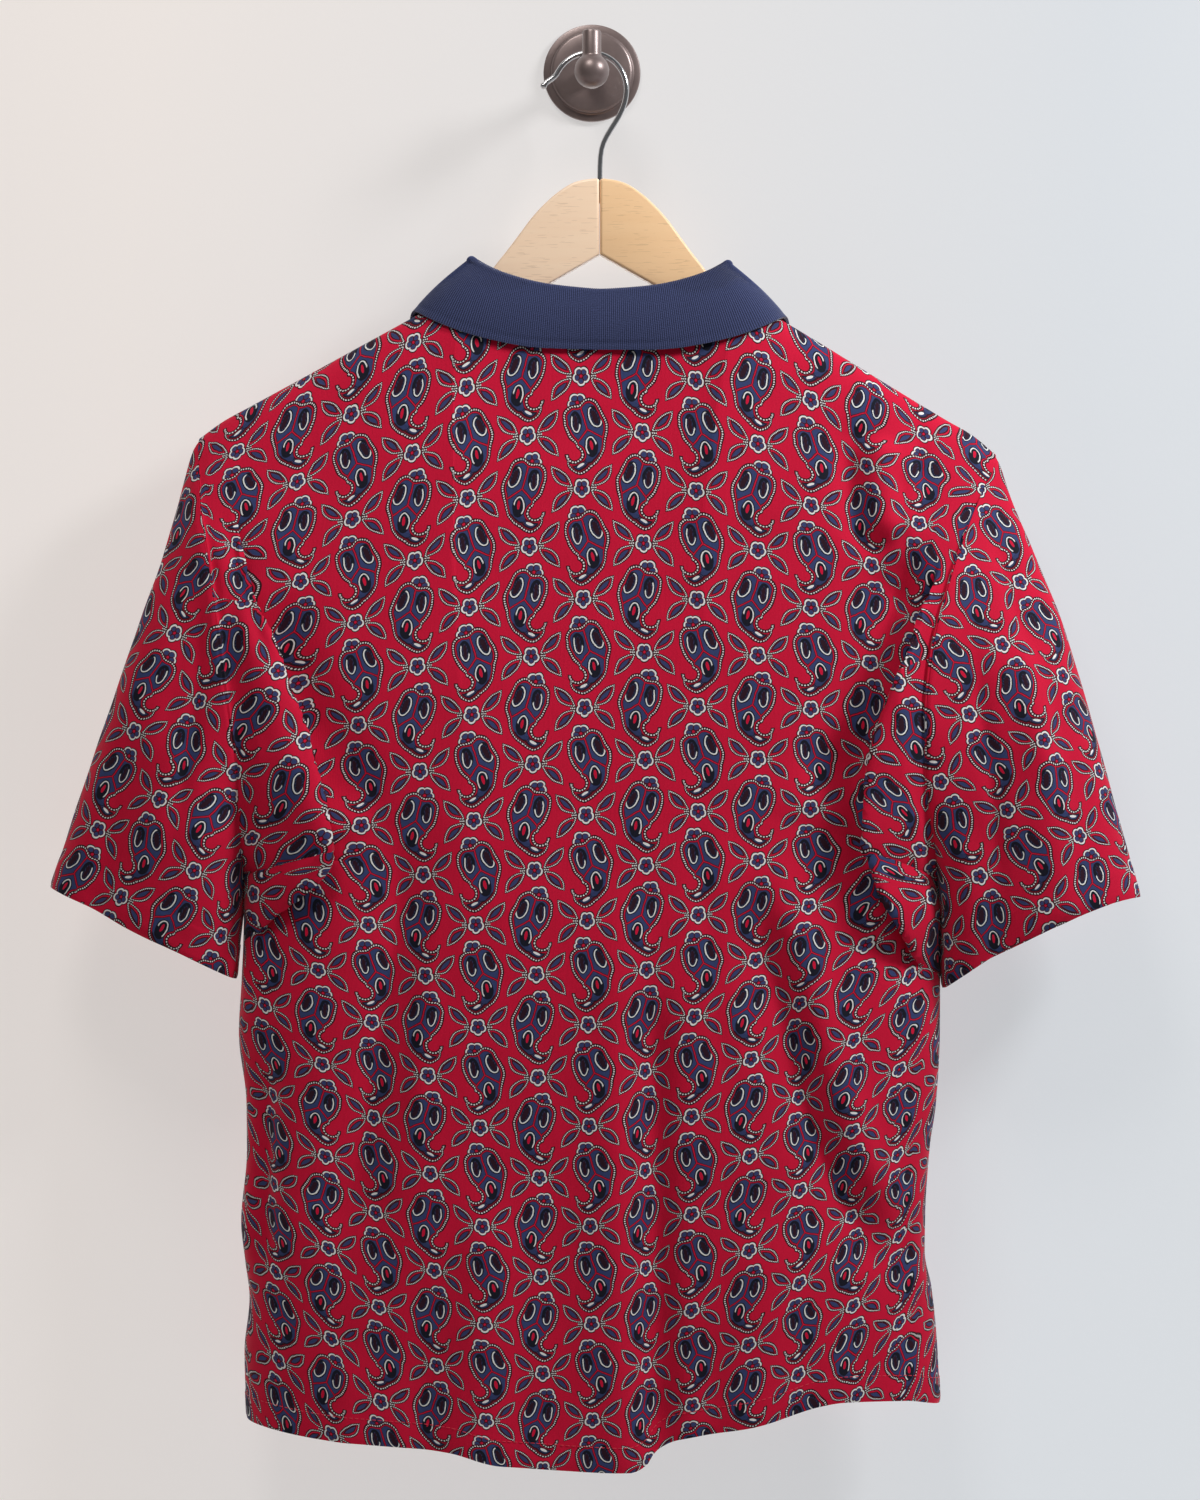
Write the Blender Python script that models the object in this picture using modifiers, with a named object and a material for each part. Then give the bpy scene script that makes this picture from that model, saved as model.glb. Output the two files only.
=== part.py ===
"""Short-sleeved polo shirt on a wooden hanger, hung from a round wall hook.

Metres, +Z up. The wall is the plane y = 0 and everything hangs in front of it,
at negative y. The shirt's back faces -Y and its front faces the wall.
The origin is the centre of the wall hook's back face.

Each cloth piece is one wall. Its inner face is a grid of points worked out
from the seams around it, and its thickness grows outwards from that face.
"""

import math
from typing import NamedTuple

import bmesh
import bpy
import numpy as np
from mathutils import Vector

# ---------------------------------------------------------------- sizes

CLOTH = 0.0016          # jersey wall
RIB_CLOTH = 0.0018      # collar wall
PLACKET_CLOTH = 0.0022  # two layers of jersey, pressed together
SEAM_GAP = 0.0003       # clear space between two pieces that meet

CENTRE_X = 0.005        # middle of the shirt and of the hanger
RIGHT_TILT = 0.03       # the right half hangs lower, by this share of its distance from there
HANG_Y = -0.042         # plane of the hanger, under the shoulder seams
SIDE_Y = -0.047         # plane of the side seams

BACK = -1               # the panel that faces -Y
FRONT = 1               # the panel that faces the wall
LEFT = -1               # towards -X
RIGHT = 1               # towards +X

NECK_SHARE = 0.31       # share of the width from a shoulder tip to the neck
UNDERARM_SHARE = 0.45   # share of the height from a shoulder tip to the underarm
BODY_SQUARENESS = 2.8   # superellipse power of the body's cross-section
SLEEVE_SQUARENESS = 2.3

COLUMN_CROWDING = 1.35  # columns come closer together towards a side
CREST_ROWS = (0.0, 0.0015, 0.006, 0.018, 0.040)   # rows that bend over the hanger
NECK_ROLL = 0.12        # share of the height over which the neckline's depth fades
NECK_SLOPE = 0.05

SLEEVE_RINGS = 11
SLEEVE_SIDES = 28

HEM_CORNER_LEFT = -0.8556
HEM_CORNER_RIGHT = -0.8460
FRONT_HEM_SAG = 0.014


# ---------------------------------------------------------------- tables

class ShoulderRow(NamedTuple):
    """Shoulder seam, from the tip (0) to the neck (1)."""

    share: float
    left_x: float
    left_z: float
    right_x: float
    right_z: float


SHOULDER = (
    ShoulderRow(0.00, -0.2472, -0.2400, 0.2544, -0.2500),
    ShoulderRow(0.09, -0.2322, -0.2292, 0.2396, -0.2378),
    ShoulderRow(0.19, -0.2154, -0.2200, 0.2232, -0.2283),
    ShoulderRow(0.80, -0.1138, -0.1643, 0.1223, -0.1669),
    ShoulderRow(1.00, -0.0800, -0.1455, 0.0900, -0.1481),
)


class ArmholeRow(NamedTuple):
    """Armhole seam, from the shoulder tip (0) to the underarm (1)."""

    share: float
    left_x: float
    right_x: float
    back_y: float
    front_y: float


ARMHOLE = (
    ArmholeRow(0.000, -0.2472, 0.2544, -0.0420, -0.0420),
    ArmholeRow(0.004, -0.2472, 0.2543, -0.0462, -0.0378),
    ArmholeRow(0.015, -0.2472, 0.2538, -0.0490, -0.0350),
    ArmholeRow(0.050, -0.2468, 0.2500, -0.0550, -0.0300),
    ArmholeRow(0.140, -0.2452, 0.2385, -0.0680, -0.0235),
    ArmholeRow(0.300, -0.2375, 0.2225, -0.0850, -0.0185),
    ArmholeRow(0.450, -0.2318, 0.2118, -0.0940, -0.0165),
    ArmholeRow(0.600, -0.2262, 0.2078, -0.0975, -0.0165),
    ArmholeRow(0.750, -0.2210, 0.2080, -0.0940, -0.0190),
    ArmholeRow(0.880, -0.2188, 0.2130, -0.0810, -0.0270),
    ArmholeRow(0.960, -0.2185, 0.2165, -0.0650, -0.0360),
    ArmholeRow(1.000, -0.2185, 0.2180, -0.0470, -0.0470),
)
UNDERARM_LEFT_Z = -0.5150
UNDERARM_RIGHT_Z = -0.5213


class SideRow(NamedTuple):
    """Side seam, from the underarm (0) to the hem (1)."""

    share: float
    left_x: float
    right_x: float


SIDE_SEAM = (
    SideRow(0.00, -0.2185, 0.2180),
    SideRow(0.12, -0.2188, 0.2170),
    SideRow(0.20, -0.2200, 0.2172),
    SideRow(0.29, -0.2220, 0.2185),
    SideRow(0.42, -0.2172, 0.2166),
    SideRow(0.51, -0.2169, 0.2125),
    SideRow(0.64, -0.2205, 0.2097),
    SideRow(0.71, -0.2180, 0.2094),
    SideRow(0.78, -0.2152, 0.2137),
    SideRow(0.88, -0.2184, 0.2170),
    SideRow(1.00, -0.2169, 0.2190),
)


class HemRow(NamedTuple):
    """Lower edge of the back panel."""

    x: float
    z: float


BACK_HEM = (
    HemRow(-0.2169, HEM_CORNER_LEFT),
    HemRow(-0.1670, -0.8629),
    HemRow(-0.0872, -0.8691),
    HemRow(-0.0552, -0.8770),
    HemRow(0.0237, -0.8812),
    HemRow(0.0329, -0.8775),
    HemRow(0.0391, -0.8695),
    HemRow(0.0539, -0.8618),
    HemRow(0.0994, -0.8532),
    HemRow(0.1573, -0.8395),
    HemRow(0.1937, -0.8405),
    HemRow(0.2190, HEM_CORNER_RIGHT),
)


class PanelGrid(NamedTuple):
    """Number of steps that a panel's grid has in each stretch."""

    shoulder: int
    neck: int
    armhole: int
    below: int


PANEL_GRIDS = {
    BACK: PanelGrid(shoulder=14, neck=9, armhole=15, below=14),
    FRONT: PanelGrid(shoulder=9, neck=12, armhole=9, below=7),
}


class DepthRow(NamedTuple):
    """Depth of the middle of the body, from the shoulder line (0) to the hem (1)."""

    share: float
    back_y: float
    front_y: float


BODY_DEPTH = (
    DepthRow(0.000, -0.0420, -0.0420),
    DepthRow(0.0015, -0.0464, -0.0376),
    DepthRow(0.006, -0.0500, -0.0340),
    DepthRow(0.018, -0.0550, -0.0295),
    DepthRow(0.042, -0.0595, -0.0262),
    DepthRow(0.078, -0.0635, -0.0238),
    DepthRow(0.120, -0.0680, -0.0215),
    DepthRow(0.200, -0.0745, -0.0185),
    DepthRow(0.350, -0.0860, -0.0145),
    DepthRow(0.600, -0.0980, -0.0120),
    DepthRow(1.000, -0.1040, -0.0110),
)


class CollarRow(NamedTuple):
    """Half of the collar, from the middle of the back (0) to the front opening (1).

    The seam is where the stand meets the body, the fold is the collar's top,
    and the edge is the free edge of the fall. x is measured from CENTRE_X.
    """

    turn: float
    seam_x: float
    seam_y: float
    seam_z: float
    fold_x: float
    fold_y: float
    fold_z: float
    edge_x: float
    edge_y: float
    edge_z: float


SHOULDER_TURN = 0.46     # place of the shoulder seam on the collar
SHOULDER_END = 0.988     # share of the shoulder at which the body meets the collar
COLLAR = (
    CollarRow(0.00, 0.0000, -0.0585, -0.1760, 0.0000, -0.0570, -0.1460, 0.0000, -0.0715, -0.1848),
    CollarRow(0.14, 0.0300, -0.0580, -0.1735, 0.0330, -0.0560, -0.1423, 0.0370, -0.0708, -0.1837),
    CollarRow(0.28, 0.0610, -0.0555, -0.1640, 0.0640, -0.0535, -0.1335, 0.0770, -0.0670, -0.1762),
    CollarRow(0.40, 0.0810, -0.0502, -0.1505, 0.0790, -0.0475, -0.1250, 0.1080, -0.0590, -0.1640),
    CollarRow(0.46, 0.0850, -0.0420, -0.1455, 0.0815, -0.0400, -0.1228, 0.1190, -0.0420, -0.1570),
    CollarRow(0.53, 0.0818, -0.0335, -0.1515, 0.0790, -0.0310, -0.1262, 0.1215, -0.0258, -0.1700),
    CollarRow(0.60, 0.0762, -0.0290, -0.1650, 0.0742, -0.0265, -0.1375, 0.1200, -0.0195, -0.1830),
    CollarRow(0.72, 0.0608, -0.0243, -0.1915, 0.0600, -0.0215, -0.1640, 0.1110, -0.0150, -0.2160),
    CollarRow(0.86, 0.0338, -0.0212, -0.2205, 0.0334, -0.0180, -0.1945, 0.0940, -0.0128, -0.2570),
    CollarRow(1.00, 0.0012, -0.0195, -0.2350, 0.0012, -0.0165, -0.2110, 0.0720, -0.0120, -0.2900),
)
COLLAR_ROLL = 0.0031     # radius of the fold
COLLAR_BELLY = 0.0022    # how far the fall bows outwards
COLLAR_SECTIONS = 44
COLLAR_STAND_STEPS = 2
COLLAR_FALL_STEPS = 3


class SleeveTopRow(NamedTuple):
    """Outer fold of a sleeve, from the shoulder tip (0) to the cuff (1)."""

    share: float
    left_x: float
    left_z: float
    right_x: float
    right_z: float


SLEEVE_TOP = (
    SleeveTopRow(0.00, -0.2475, -0.2400, 0.2547, -0.2500),
    SleeveTopRow(0.03, -0.2508, -0.2475, 0.2572, -0.2578),
    SleeveTopRow(0.10, -0.2557, -0.2663, 0.2625, -0.2740),
    SleeveTopRow(0.25, -0.2677, -0.3117, 0.2774, -0.3120),
    SleeveTopRow(0.42, -0.2840, -0.3590, 0.2941, -0.3564),
    SleeveTopRow(1.00, -0.3391, -0.5223, 0.3438, -0.5286),
)


class SleeveRow(NamedTuple):
    """Middle depth and half depth of a sleeve, from the armhole (0) to the cuff (1)."""

    share: float
    middle_y: float
    half_depth: float


SLEEVE_DEPTH = (
    SleeveRow(0.00, -0.0560, 0.0400),
    SleeveRow(0.50, -0.0560, 0.0395),
    SleeveRow(1.00, -0.0545, 0.0320),
)


class SleeveCut(NamedTuple):
    """Sizes that differ between the two sleeves."""

    cuff_x: float          # inner corner of the cuff
    cuff_z: float
    back_bow: float        # how far the back of the cuff rises above its two corners
    front_bow: float


SLEEVE_CUTS = {
    LEFT: SleeveCut(-0.2281, -0.5796, 0.002, 0.004),
    RIGHT: SleeveCut(0.2237, -0.5855, 0.010, 0.002),
}
UNDERARM_CLEARANCE = 0.0037   # the sleeve and the body lie wall to wall there
SLEEVE_FRONT_EASE = 0.12      # share of that clearance all along the front of the armhole
SEAM_RELEASE = 0.5            # share of the sleeve over which its armhole shape fades
NECK_EASE = 0.0019            # clear space between the body's edge and the collar's
NECK_CLEARANCE = RIB_CLOTH    # added at the shoulders, where the stand rises from the body
NECK_MIDDLE_Z = -0.100        # the neckline is eased away from this height


class Fold(NamedTuple):
    """One soft ridge (height above 0) or trough of the cloth.

    The path is in x and z. The widths are those of the slopes on
    the path's left and right, going along it.
    """

    height: float
    left_width: float
    right_width: float
    path: tuple


BACK_FOLDS = (
    # the left sleeve's lower part bulges over the body
    Fold(0.0120, 0.018, 0.050, ((-0.220, -0.319), (-0.2095, -0.356), (-0.198, -0.399), (-0.177, -0.445),
                                (-0.1605, -0.482), (-0.166, -0.509), (-0.187, -0.533), (-0.211, -0.556))),
    Fold(-0.0080, 0.020, 0.018, ((-0.204, -0.332), (-0.188, -0.378), (-0.170, -0.422), (-0.150, -0.464),
                                 (-0.140, -0.500))),
    Fold(-0.0050, 0.013, 0.012, ((-0.234, -0.320), (-0.225, -0.370), (-0.214, -0.440))),
    # the right sleeve's lower part bulges over the body
    Fold(0.0125, 0.050, 0.015, ((0.221, -0.311), (0.200, -0.352), (0.188, -0.390), (0.174, -0.421),
                                (0.1655, -0.455), (0.165, -0.492), (0.175, -0.532), (0.196, -0.556),
                                (0.216, -0.575))),
    Fold(-0.0120, 0.015, 0.022, ((0.205, -0.306), (0.188, -0.336), (0.174, -0.380), (0.157, -0.430),
                                 (0.147, -0.478))),
    # long diagonal on the right half of the back
    Fold(-0.0075, 0.014, 0.020, ((0.095, -0.510), (0.116, -0.578), (0.129, -0.633), (0.147, -0.689),
                                 (0.166, -0.726), (0.190, -0.775))),
    Fold(0.0060, 0.014, 0.016, ((0.108, -0.498), (0.133, -0.580), (0.148, -0.635), (0.168, -0.690),
                                (0.190, -0.745))),
    # puckers below the right shoulder
    Fold(0.0060, 0.013, 0.013, ((0.181, -0.236), (0.181, -0.270), (0.187, -0.310))),
    Fold(-0.0050, 0.010, 0.010, ((0.170, -0.218), (0.160, -0.251), (0.165, -0.294), (0.182, -0.322))),
    # soft hollow down the left half
    Fold(-0.0065, 0.024, 0.022, ((-0.112, -0.467), (-0.118, -0.559), (-0.131, -0.621), (-0.143, -0.683),
                                 (-0.155, -0.775))),
    Fold(-0.0060, 0.010, 0.012, ((-0.204, -0.620), (-0.206, -0.700), (-0.203, -0.770))),
    # middle of the back, down to the step in the hem
    Fold(0.0050, 0.014, 0.022, ((0.018, -0.500), (0.018, -0.700), (0.017, -0.920))),
    Fold(-0.0085, 0.012, 0.016, ((0.037, -0.560), (0.039, -0.720), (0.046, -0.920))),
    Fold(0.0050, 0.020, 0.020, ((-0.060, -0.700), (-0.066, -0.800), (-0.070, -0.920))),
    Fold(0.0045, 0.022, 0.022, ((0.110, -0.720), (0.104, -0.800), (0.100, -0.900))),
)

FRONT_FOLDS = (
    Fold(0.0040, 0.026, 0.018, ((-0.195, -0.360), (-0.165, -0.430), (-0.140, -0.500), (-0.128, -0.580))),
    Fold(-0.0060, 0.014, 0.020, ((-0.170, -0.350), (-0.140, -0.420), (-0.118, -0.500))),
    Fold(-0.0060, 0.018, 0.014, ((0.165, -0.350), (0.140, -0.430), (0.120, -0.500))),
    Fold(0.0035, 0.020, 0.024, ((0.190, -0.370), (0.160, -0.450), (0.146, -0.530))),
    Fold(-0.0070, 0.022, 0.022, ((-0.060, -0.500), (-0.072, -0.650), (-0.085, -0.900))),
    Fold(-0.0070, 0.020, 0.024, ((0.080, -0.520), (0.088, -0.680), (0.100, -0.900))),
    Fold(0.0035, 0.020, 0.020, ((0.010, -0.560), (0.006, -0.720), (0.004, -0.900))),
)


class SleeveFold(NamedTuple):
    """Ridge or trough along a sleeve. angle: 0 outer fold, 90 back, 270 front."""

    height: float
    start_angle: float
    end_angle: float
    width: float
    start: float
    end: float


SLEEVE_FOLDS = {
    LEFT: (
        SleeveFold(-0.0050, 118.0, 88.0, 14.0, 0.10, 1.05),
        SleeveFold(0.0035, 70.0, 62.0, 14.0, 0.15, 1.05),
        SleeveFold(-0.0045, 255.0, 275.0, 14.0, 0.20, 1.05),
    ),
    RIGHT: (
        SleeveFold(-0.0050, 66.0, 84.0, 14.0, 0.10, 1.05),
        SleeveFold(0.0035, 112.0, 118.0, 14.0, 0.20, 1.05),
        SleeveFold(-0.0045, 280.0, 262.0, 14.0, 0.20, 1.05),
    ),
}

# placket and buttons, on the front below the collar
PLACKET_WIDTH = 0.033
PLACKET_TOP = 0.005       # shares of the front panel's height
PLACKET_BOTTOM = 0.240
BUTTON_RADIUS = 0.0055
BUTTON_THICKNESS = 0.0024
BUTTON_SHARES = (0.030, 0.110, 0.190)


class CrownRow(NamedTuple):
    """Top of the hanger near its middle. out is measured from CENTRE_X."""

    out: float
    z: float


HANGER_CROWN = (
    CrownRow(-0.0100, -0.0746),   # past the middle
    CrownRow(0.0000, -0.0746),
    CrownRow(0.0080, -0.0752),
    CrownRow(0.0153, -0.0768),
    CrownRow(0.0253, -0.0825),
    CrownRow(0.0354, -0.0912),
    CrownRow(0.0430, -0.0995),
    CrownRow(0.0505, -0.1095),
    CrownRow(0.0582, -0.1197),
    CrownRow(0.0664, -0.1300),
    CrownRow(0.0730, -0.1395),
    CrownRow(0.0810, -0.1500),
    CrownRow(0.0930, -0.1585),
)
HANGER_THICKNESS = 0.011
HANGER_NOTCH_Z = -0.1227   # underside at the middle
HANGER_NOTCH_SLOPE = 0.5625
HANGER_REACH = 0.2180      # centre of the arm's round end, from CENTRE_X
HANGER_EDGE = 0.0028       # rounding of the arms' edges
HANGER_BELOW_SEAM = 0.0012
HANGER_PAST_MIDDLE = 0.010   # how far each half runs past the mitre before it is cut
MITRE_BLOCK = 0.1            # edge of the block that cuts it
ARM_STEPS = (0.60, 0.40, 0.25)   # shares of the shoulder, tip to neck, that the arm follows
END_STEPS = 5

WIRE_RADIUS = 0.00175
WIRE_BEND = 0.0231         # radius of the hook
WIRE_BEND_X = -0.0011
WIRE_BEND_Z = -0.0176
WIRE_FOOT_DEPTH = 0.016    # how far the wire runs into the wood
SOCKET_CLEARANCE = 0.0005  # between the wire and its hole, all round
SOCKET_SIDES = 16
BEND_STEPS = 17
BEND_START = 163.0         # degrees
BEND_STEP = 11.0
WIRE_SIDES_RESOLUTION = 2


class WirePoint(NamedTuple):
    """Point of the hook wire, in the hanger's plane."""

    x: float
    z: float


WIRE_TIP = (
    WirePoint(-0.0300, -0.0150),
    WirePoint(-0.0272, -0.0122),
)
WIRE_STEM = (
    WirePoint(0.0213, -0.0258),
    WirePoint(0.0174, -0.0349),
    WirePoint(0.0113, -0.0441),
    WirePoint(0.0070, -0.0518),
    WirePoint(0.0054, -0.0590),
)

PLATE_RADIUS = 0.03125
PLATE_RIM = 0.0030
PLATE_STEP_RADIUS = 0.0262
PLATE_HEIGHT = 0.0080
WALL_ARM_RADIUS = 0.0055
WALL_ARM_Z = -0.0023
KNOB_Y = -0.060
BALL_RADIUS = 0.011
BALL_Z = -0.0093
BALL_STEPS = 8
PEG_RADIUS = 0.006
PEG_TOP = 0.0165

COLOURS = {
    "printed jersey": (0.62, 0.02, 0.06, 1.0),
    "navy rib": (0.035, 0.05, 0.14, 1.0),
    "red button": (0.45, 0.02, 0.05, 1.0),
    "pale wood": (0.78, 0.55, 0.34, 1.0),
    "chrome wire": (0.60, 0.60, 0.62, 1.0),
    "dark bronze": (0.05, 0.045, 0.04, 1.0),
}
FINISHES = {   # roughness, metallic
    "printed jersey": (0.75, 0.0),
    "navy rib": (0.85, 0.0),
    "red button": (0.35, 0.0),
    "pale wood": (0.45, 0.0),
    "chrome wire": (0.12, 1.0),
    "dark bronze": (0.35, 0.8),
}


# ---------------------------------------------------------------- number helpers

def smooth(value):
    """Ease from 0 to 1, flat at both ends."""
    clipped = np.clip(value, 0.0, 1.0)
    return clipped * clipped * (3.0 - 2.0 * clipped)


def through(knots, values, at):
    """Read a smooth curve that passes through the values and never overshoots."""
    knots = np.asarray(knots, dtype=float)
    values = np.asarray(values, dtype=float)
    at = np.asarray(at, dtype=float)
    steps = np.diff(knots)
    slopes = np.diff(values) / steps
    tangents = np.empty_like(values)
    tangents[0] = slopes[0]
    tangents[-1] = slopes[-1]
    before = slopes[:-1]
    after = slopes[1:]
    same_way = before * after > 0.0
    total = np.where(same_way, before + after, 1.0)
    tangents[1:-1] = np.where(same_way, 2.0 * before * after / total, 0.0)
    index = np.clip(np.searchsorted(knots, at) - 1, 0, len(steps) - 1)
    step = steps[index]
    t = np.clip((at - knots[index]) / step, 0.0, 1.0)
    return (
        values[index] * (2 * t**3 - 3 * t**2 + 1)
        + step * tangents[index] * (t**3 - 2 * t**2 + t)
        + values[index + 1] * (3 * t**2 - 2 * t**3)
        + step * tangents[index + 1] * (t**3 - t**2)
    )


def column(table, name):
    """One named column of a table, as an array."""
    return np.array([getattr(row, name) for row in table])


def read(table, key, name, at):
    """Smooth value of one column, at places along the key column."""
    return through(column(table, key), column(table, name), at)


def side_name(side):
    """Word for a side, as the tables' columns use it."""
    return "left" if side == LEFT else "right"


def bow(share, power):
    """Superellipse height over a width that runs from 0 to 1."""
    offset = np.abs(2.0 * share - 1.0)
    return np.clip(1.0 - offset**power, 0.0, 1.0) ** (1.0 / power)


def signed_power(value, power):
    """Power of a number that keeps its sign."""
    return np.sign(value) * np.abs(value) ** power


# ---------------------------------------------------------------- seams of the body

def shoulder_seam(side, share):
    """x and z along a shoulder, from its tip (0) to the neck (1)."""
    name = side_name(side)
    return read(SHOULDER, "share", name + "_x", share), read(SHOULDER, "share", name + "_z", share)


def collar_line(line, side, turn):
    """x, y and z along the collar's seam, fold or edge."""
    out = read(COLLAR, "turn", line + "_x", turn)
    depth = read(COLLAR, "turn", line + "_y", turn)
    height = read(COLLAR, "turn", line + "_z", turn)
    if side == RIGHT:
        height = height - RIGHT_TILT * out
    return CENTRE_X + side * out, depth, height


def top_edge(face, across):
    """Shoulders and neckline of a panel, from the left tip (0) to the right tip (1)."""
    along = (across - NECK_SHARE) / (1.0 - 2.0 * NECK_SHARE)
    from_middle = np.clip(np.abs(1.0 - 2.0 * along), 0.0, 1.0)
    if face == BACK:
        turn = SHOULDER_TURN * from_middle
    else:
        turn = 1.0 - (1.0 - SHOULDER_TURN) * from_middle
    x, y, z = np.zeros_like(across), np.zeros_like(across), np.zeros_like(across)
    for side in (LEFT, RIGHT):
        tip_share = across if side == LEFT else 1.0 - across
        share = np.clip(tip_share / NECK_SHARE, 0.0, 1.0) * SHOULDER_END
        shoulder_x, shoulder_z = shoulder_seam(side, share)
        neck_x, neck_y, neck_z = collar_line("seam", side, turn)
        flatness = 1.0 - 0.9 * smooth(np.abs(turn - SHOULDER_TURN) / 0.4)
        ease = NECK_EASE + NECK_CLEARANCE * flatness
        away = np.hypot(neck_x - CENTRE_X, neck_z - NECK_MIDDLE_Z)
        neck_x = neck_x + ease * (neck_x - CENTRE_X) / away
        neck_z = neck_z + ease * (neck_z - NECK_MIDDLE_Z) / away
        here = tip_share <= 0.5
        on_shoulder = tip_share <= NECK_SHARE
        x = np.where(here, np.where(on_shoulder, shoulder_x, neck_x), x)
        y = np.where(here, np.where(on_shoulder, HANG_Y, neck_y), y)
        z = np.where(here, np.where(on_shoulder, shoulder_z, neck_z), z)
    return x, y, z


def side_edge(face, side, down):
    """Armhole and side seam of a panel, from the shoulder tip (0) to the hem (1)."""
    name = side_name(side)
    depth_name = "back_y" if face == BACK else "front_y"
    tip_z = SHOULDER[0].left_z if side == LEFT else SHOULDER[0].right_z
    underarm_z = UNDERARM_LEFT_Z if side == LEFT else UNDERARM_RIGHT_Z
    corner_z = HEM_CORNER_LEFT if side == LEFT else HEM_CORNER_RIGHT
    upper = np.clip(down / UNDERARM_SHARE, 0.0, 1.0)
    lower = np.clip((down - UNDERARM_SHARE) / (1.0 - UNDERARM_SHARE), 0.0, 1.0)
    on_armhole = down < UNDERARM_SHARE
    armhole_x = read(ARMHOLE, "share", name + "_x", upper)
    seam_x = read(SIDE_SEAM, "share", name + "_x", lower)
    x = np.where(on_armhole, armhole_x, seam_x)
    y = np.where(on_armhole, read(ARMHOLE, "share", depth_name, upper), SIDE_Y)
    z = tip_z + upper * (underarm_z - tip_z) + lower * (corner_z - underarm_z)
    return x, y + face * SEAM_GAP / 2.0, z


def hem_edge(face, across):
    """x and z of a panel's lower edge, from the left corner (0) to the right (1)."""
    left_x = SIDE_SEAM[-1].left_x
    right_x = SIDE_SEAM[-1].right_x
    x = left_x + across * (right_x - left_x)
    if face == BACK:
        return x, read(BACK_HEM, "x", "z", x)
    straight = HEM_CORNER_LEFT + across * (HEM_CORNER_RIGHT - HEM_CORNER_LEFT)
    return x, straight - FRONT_HEM_SAG * 4.0 * across * (1.0 - across)


def body_points(face, across, down):
    """Points on the inner face of a panel, without folds."""
    top_x, top_y, top_z = top_edge(face, across)
    hem_x, hem_z = hem_edge(face, across)
    left_x, left_y, left_z = side_edge(face, LEFT, down)
    right_x, right_y, right_z = side_edge(face, RIGHT, down)
    corner = np.zeros(1)
    tip_left = side_edge(face, LEFT, corner)
    tip_right = side_edge(face, RIGHT, corner)
    foot_left = side_edge(face, LEFT, corner + 1.0)
    foot_right = side_edge(face, RIGHT, corner + 1.0)

    def blend(left, right, top, hem, axis):
        corners = (
            (1.0 - down) * ((1.0 - across) * tip_left[axis] + across * tip_right[axis])
            + down * ((1.0 - across) * foot_left[axis] + across * foot_right[axis])
        )
        return (1.0 - across) * left + across * right + (1.0 - down) * top + down * hem - corners

    x = blend(left_x, right_x, top_x, hem_x, 0)
    z = blend(left_z, right_z, top_z, hem_z, 2)
    depth_name = "back_y" if face == BACK else "front_y"
    middle = read(BODY_DEPTH, "share", depth_name, down) + face * SEAM_GAP / 2.0
    y = (1.0 - across) * left_y + across * right_y
    y = y + (middle - (left_y + right_y) / 2.0) * bow(across, BODY_SQUARENESS)
    neck_middle = COLLAR[0].seam_y if face == BACK else COLLAR[-1].seam_y
    neckness = (top_y - HANG_Y) / (neck_middle - HANG_Y)
    target = neck_middle + face * NECK_SLOPE * down
    y = y + neckness * (1.0 - smooth(down / NECK_ROLL)) * (target - middle)
    return np.stack((x, y, z), axis=-1)


def along_path(path, x, z):
    """Signed distance of points from a path, and their share along it."""
    best = np.full(x.shape, np.inf)
    signed = np.zeros(x.shape)
    share = np.zeros(x.shape)
    lengths = [math.dist(a, b) for a, b in zip(path, path[1:])]
    total = sum(lengths)
    walked = 0.0
    for (ax, az), (bx, bz), length in zip(path, path[1:], lengths):
        ux, uz = (bx - ax) / length, (bz - az) / length
        t = np.clip((x - ax) * ux + (z - az) * uz, 0.0, length)
        dx, dz = x - ax - t * ux, z - az - t * uz
        distance = np.hypot(dx, dz)
        side = np.where(ux * dz - uz * dx >= 0.0, 1.0, -1.0)
        nearer = distance < best
        signed = np.where(nearer, side * distance, signed)
        share = np.where(nearer, (walked + t) / total, share)
        best = np.minimum(best, distance)
        walked += length
    return signed, share


def fold_height(folds, points):
    """Sum of the folds at each point of a panel."""
    x, z = points[..., 0], points[..., 2]
    height = np.zeros(x.shape)
    for fold in folds:
        signed, share = along_path(fold.path, x, z)
        width = np.where(signed >= 0.0, fold.left_width, fold.right_width)
        ends = smooth(share / 0.22) * smooth((1.0 - share) / 0.22)
        height = height + fold.height * ends * np.exp(-((signed / width) ** 2))
    return height


def outward(points):
    """Unit normals of a grid whose rows run down and columns run across."""
    normal = np.cross(np.gradient(points, axis=1), np.gradient(points, axis=0))
    return normal / np.linalg.norm(normal, axis=-1, keepdims=True)


def draped(face, across, down):
    """Points on the inner face of a panel, with its folds."""
    points = body_points(face, across, down)
    folds = BACK_FOLDS if face == BACK else FRONT_FOLDS
    from_side = np.minimum(across, 1.0 - across)
    calm = smooth(from_side / 0.035) * smooth((down - 0.02) / 0.04)
    height = fold_height(folds, points) * calm
    return points + face * outward(points) * height[..., None]


# ---------------------------------------------------------------- building helpers

def new_material(name):
    """Plain material from the colour and finish tables."""
    material = bpy.data.materials.new(name)
    material.use_nodes = True
    shader = material.node_tree.nodes["Principled BSDF"]
    roughness, metallic = FINISHES[name]
    shader.inputs["Base Color"].default_value = COLOURS[name]
    shader.inputs["Roughness"].default_value = roughness
    shader.inputs["Metallic"].default_value = metallic
    return material


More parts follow.
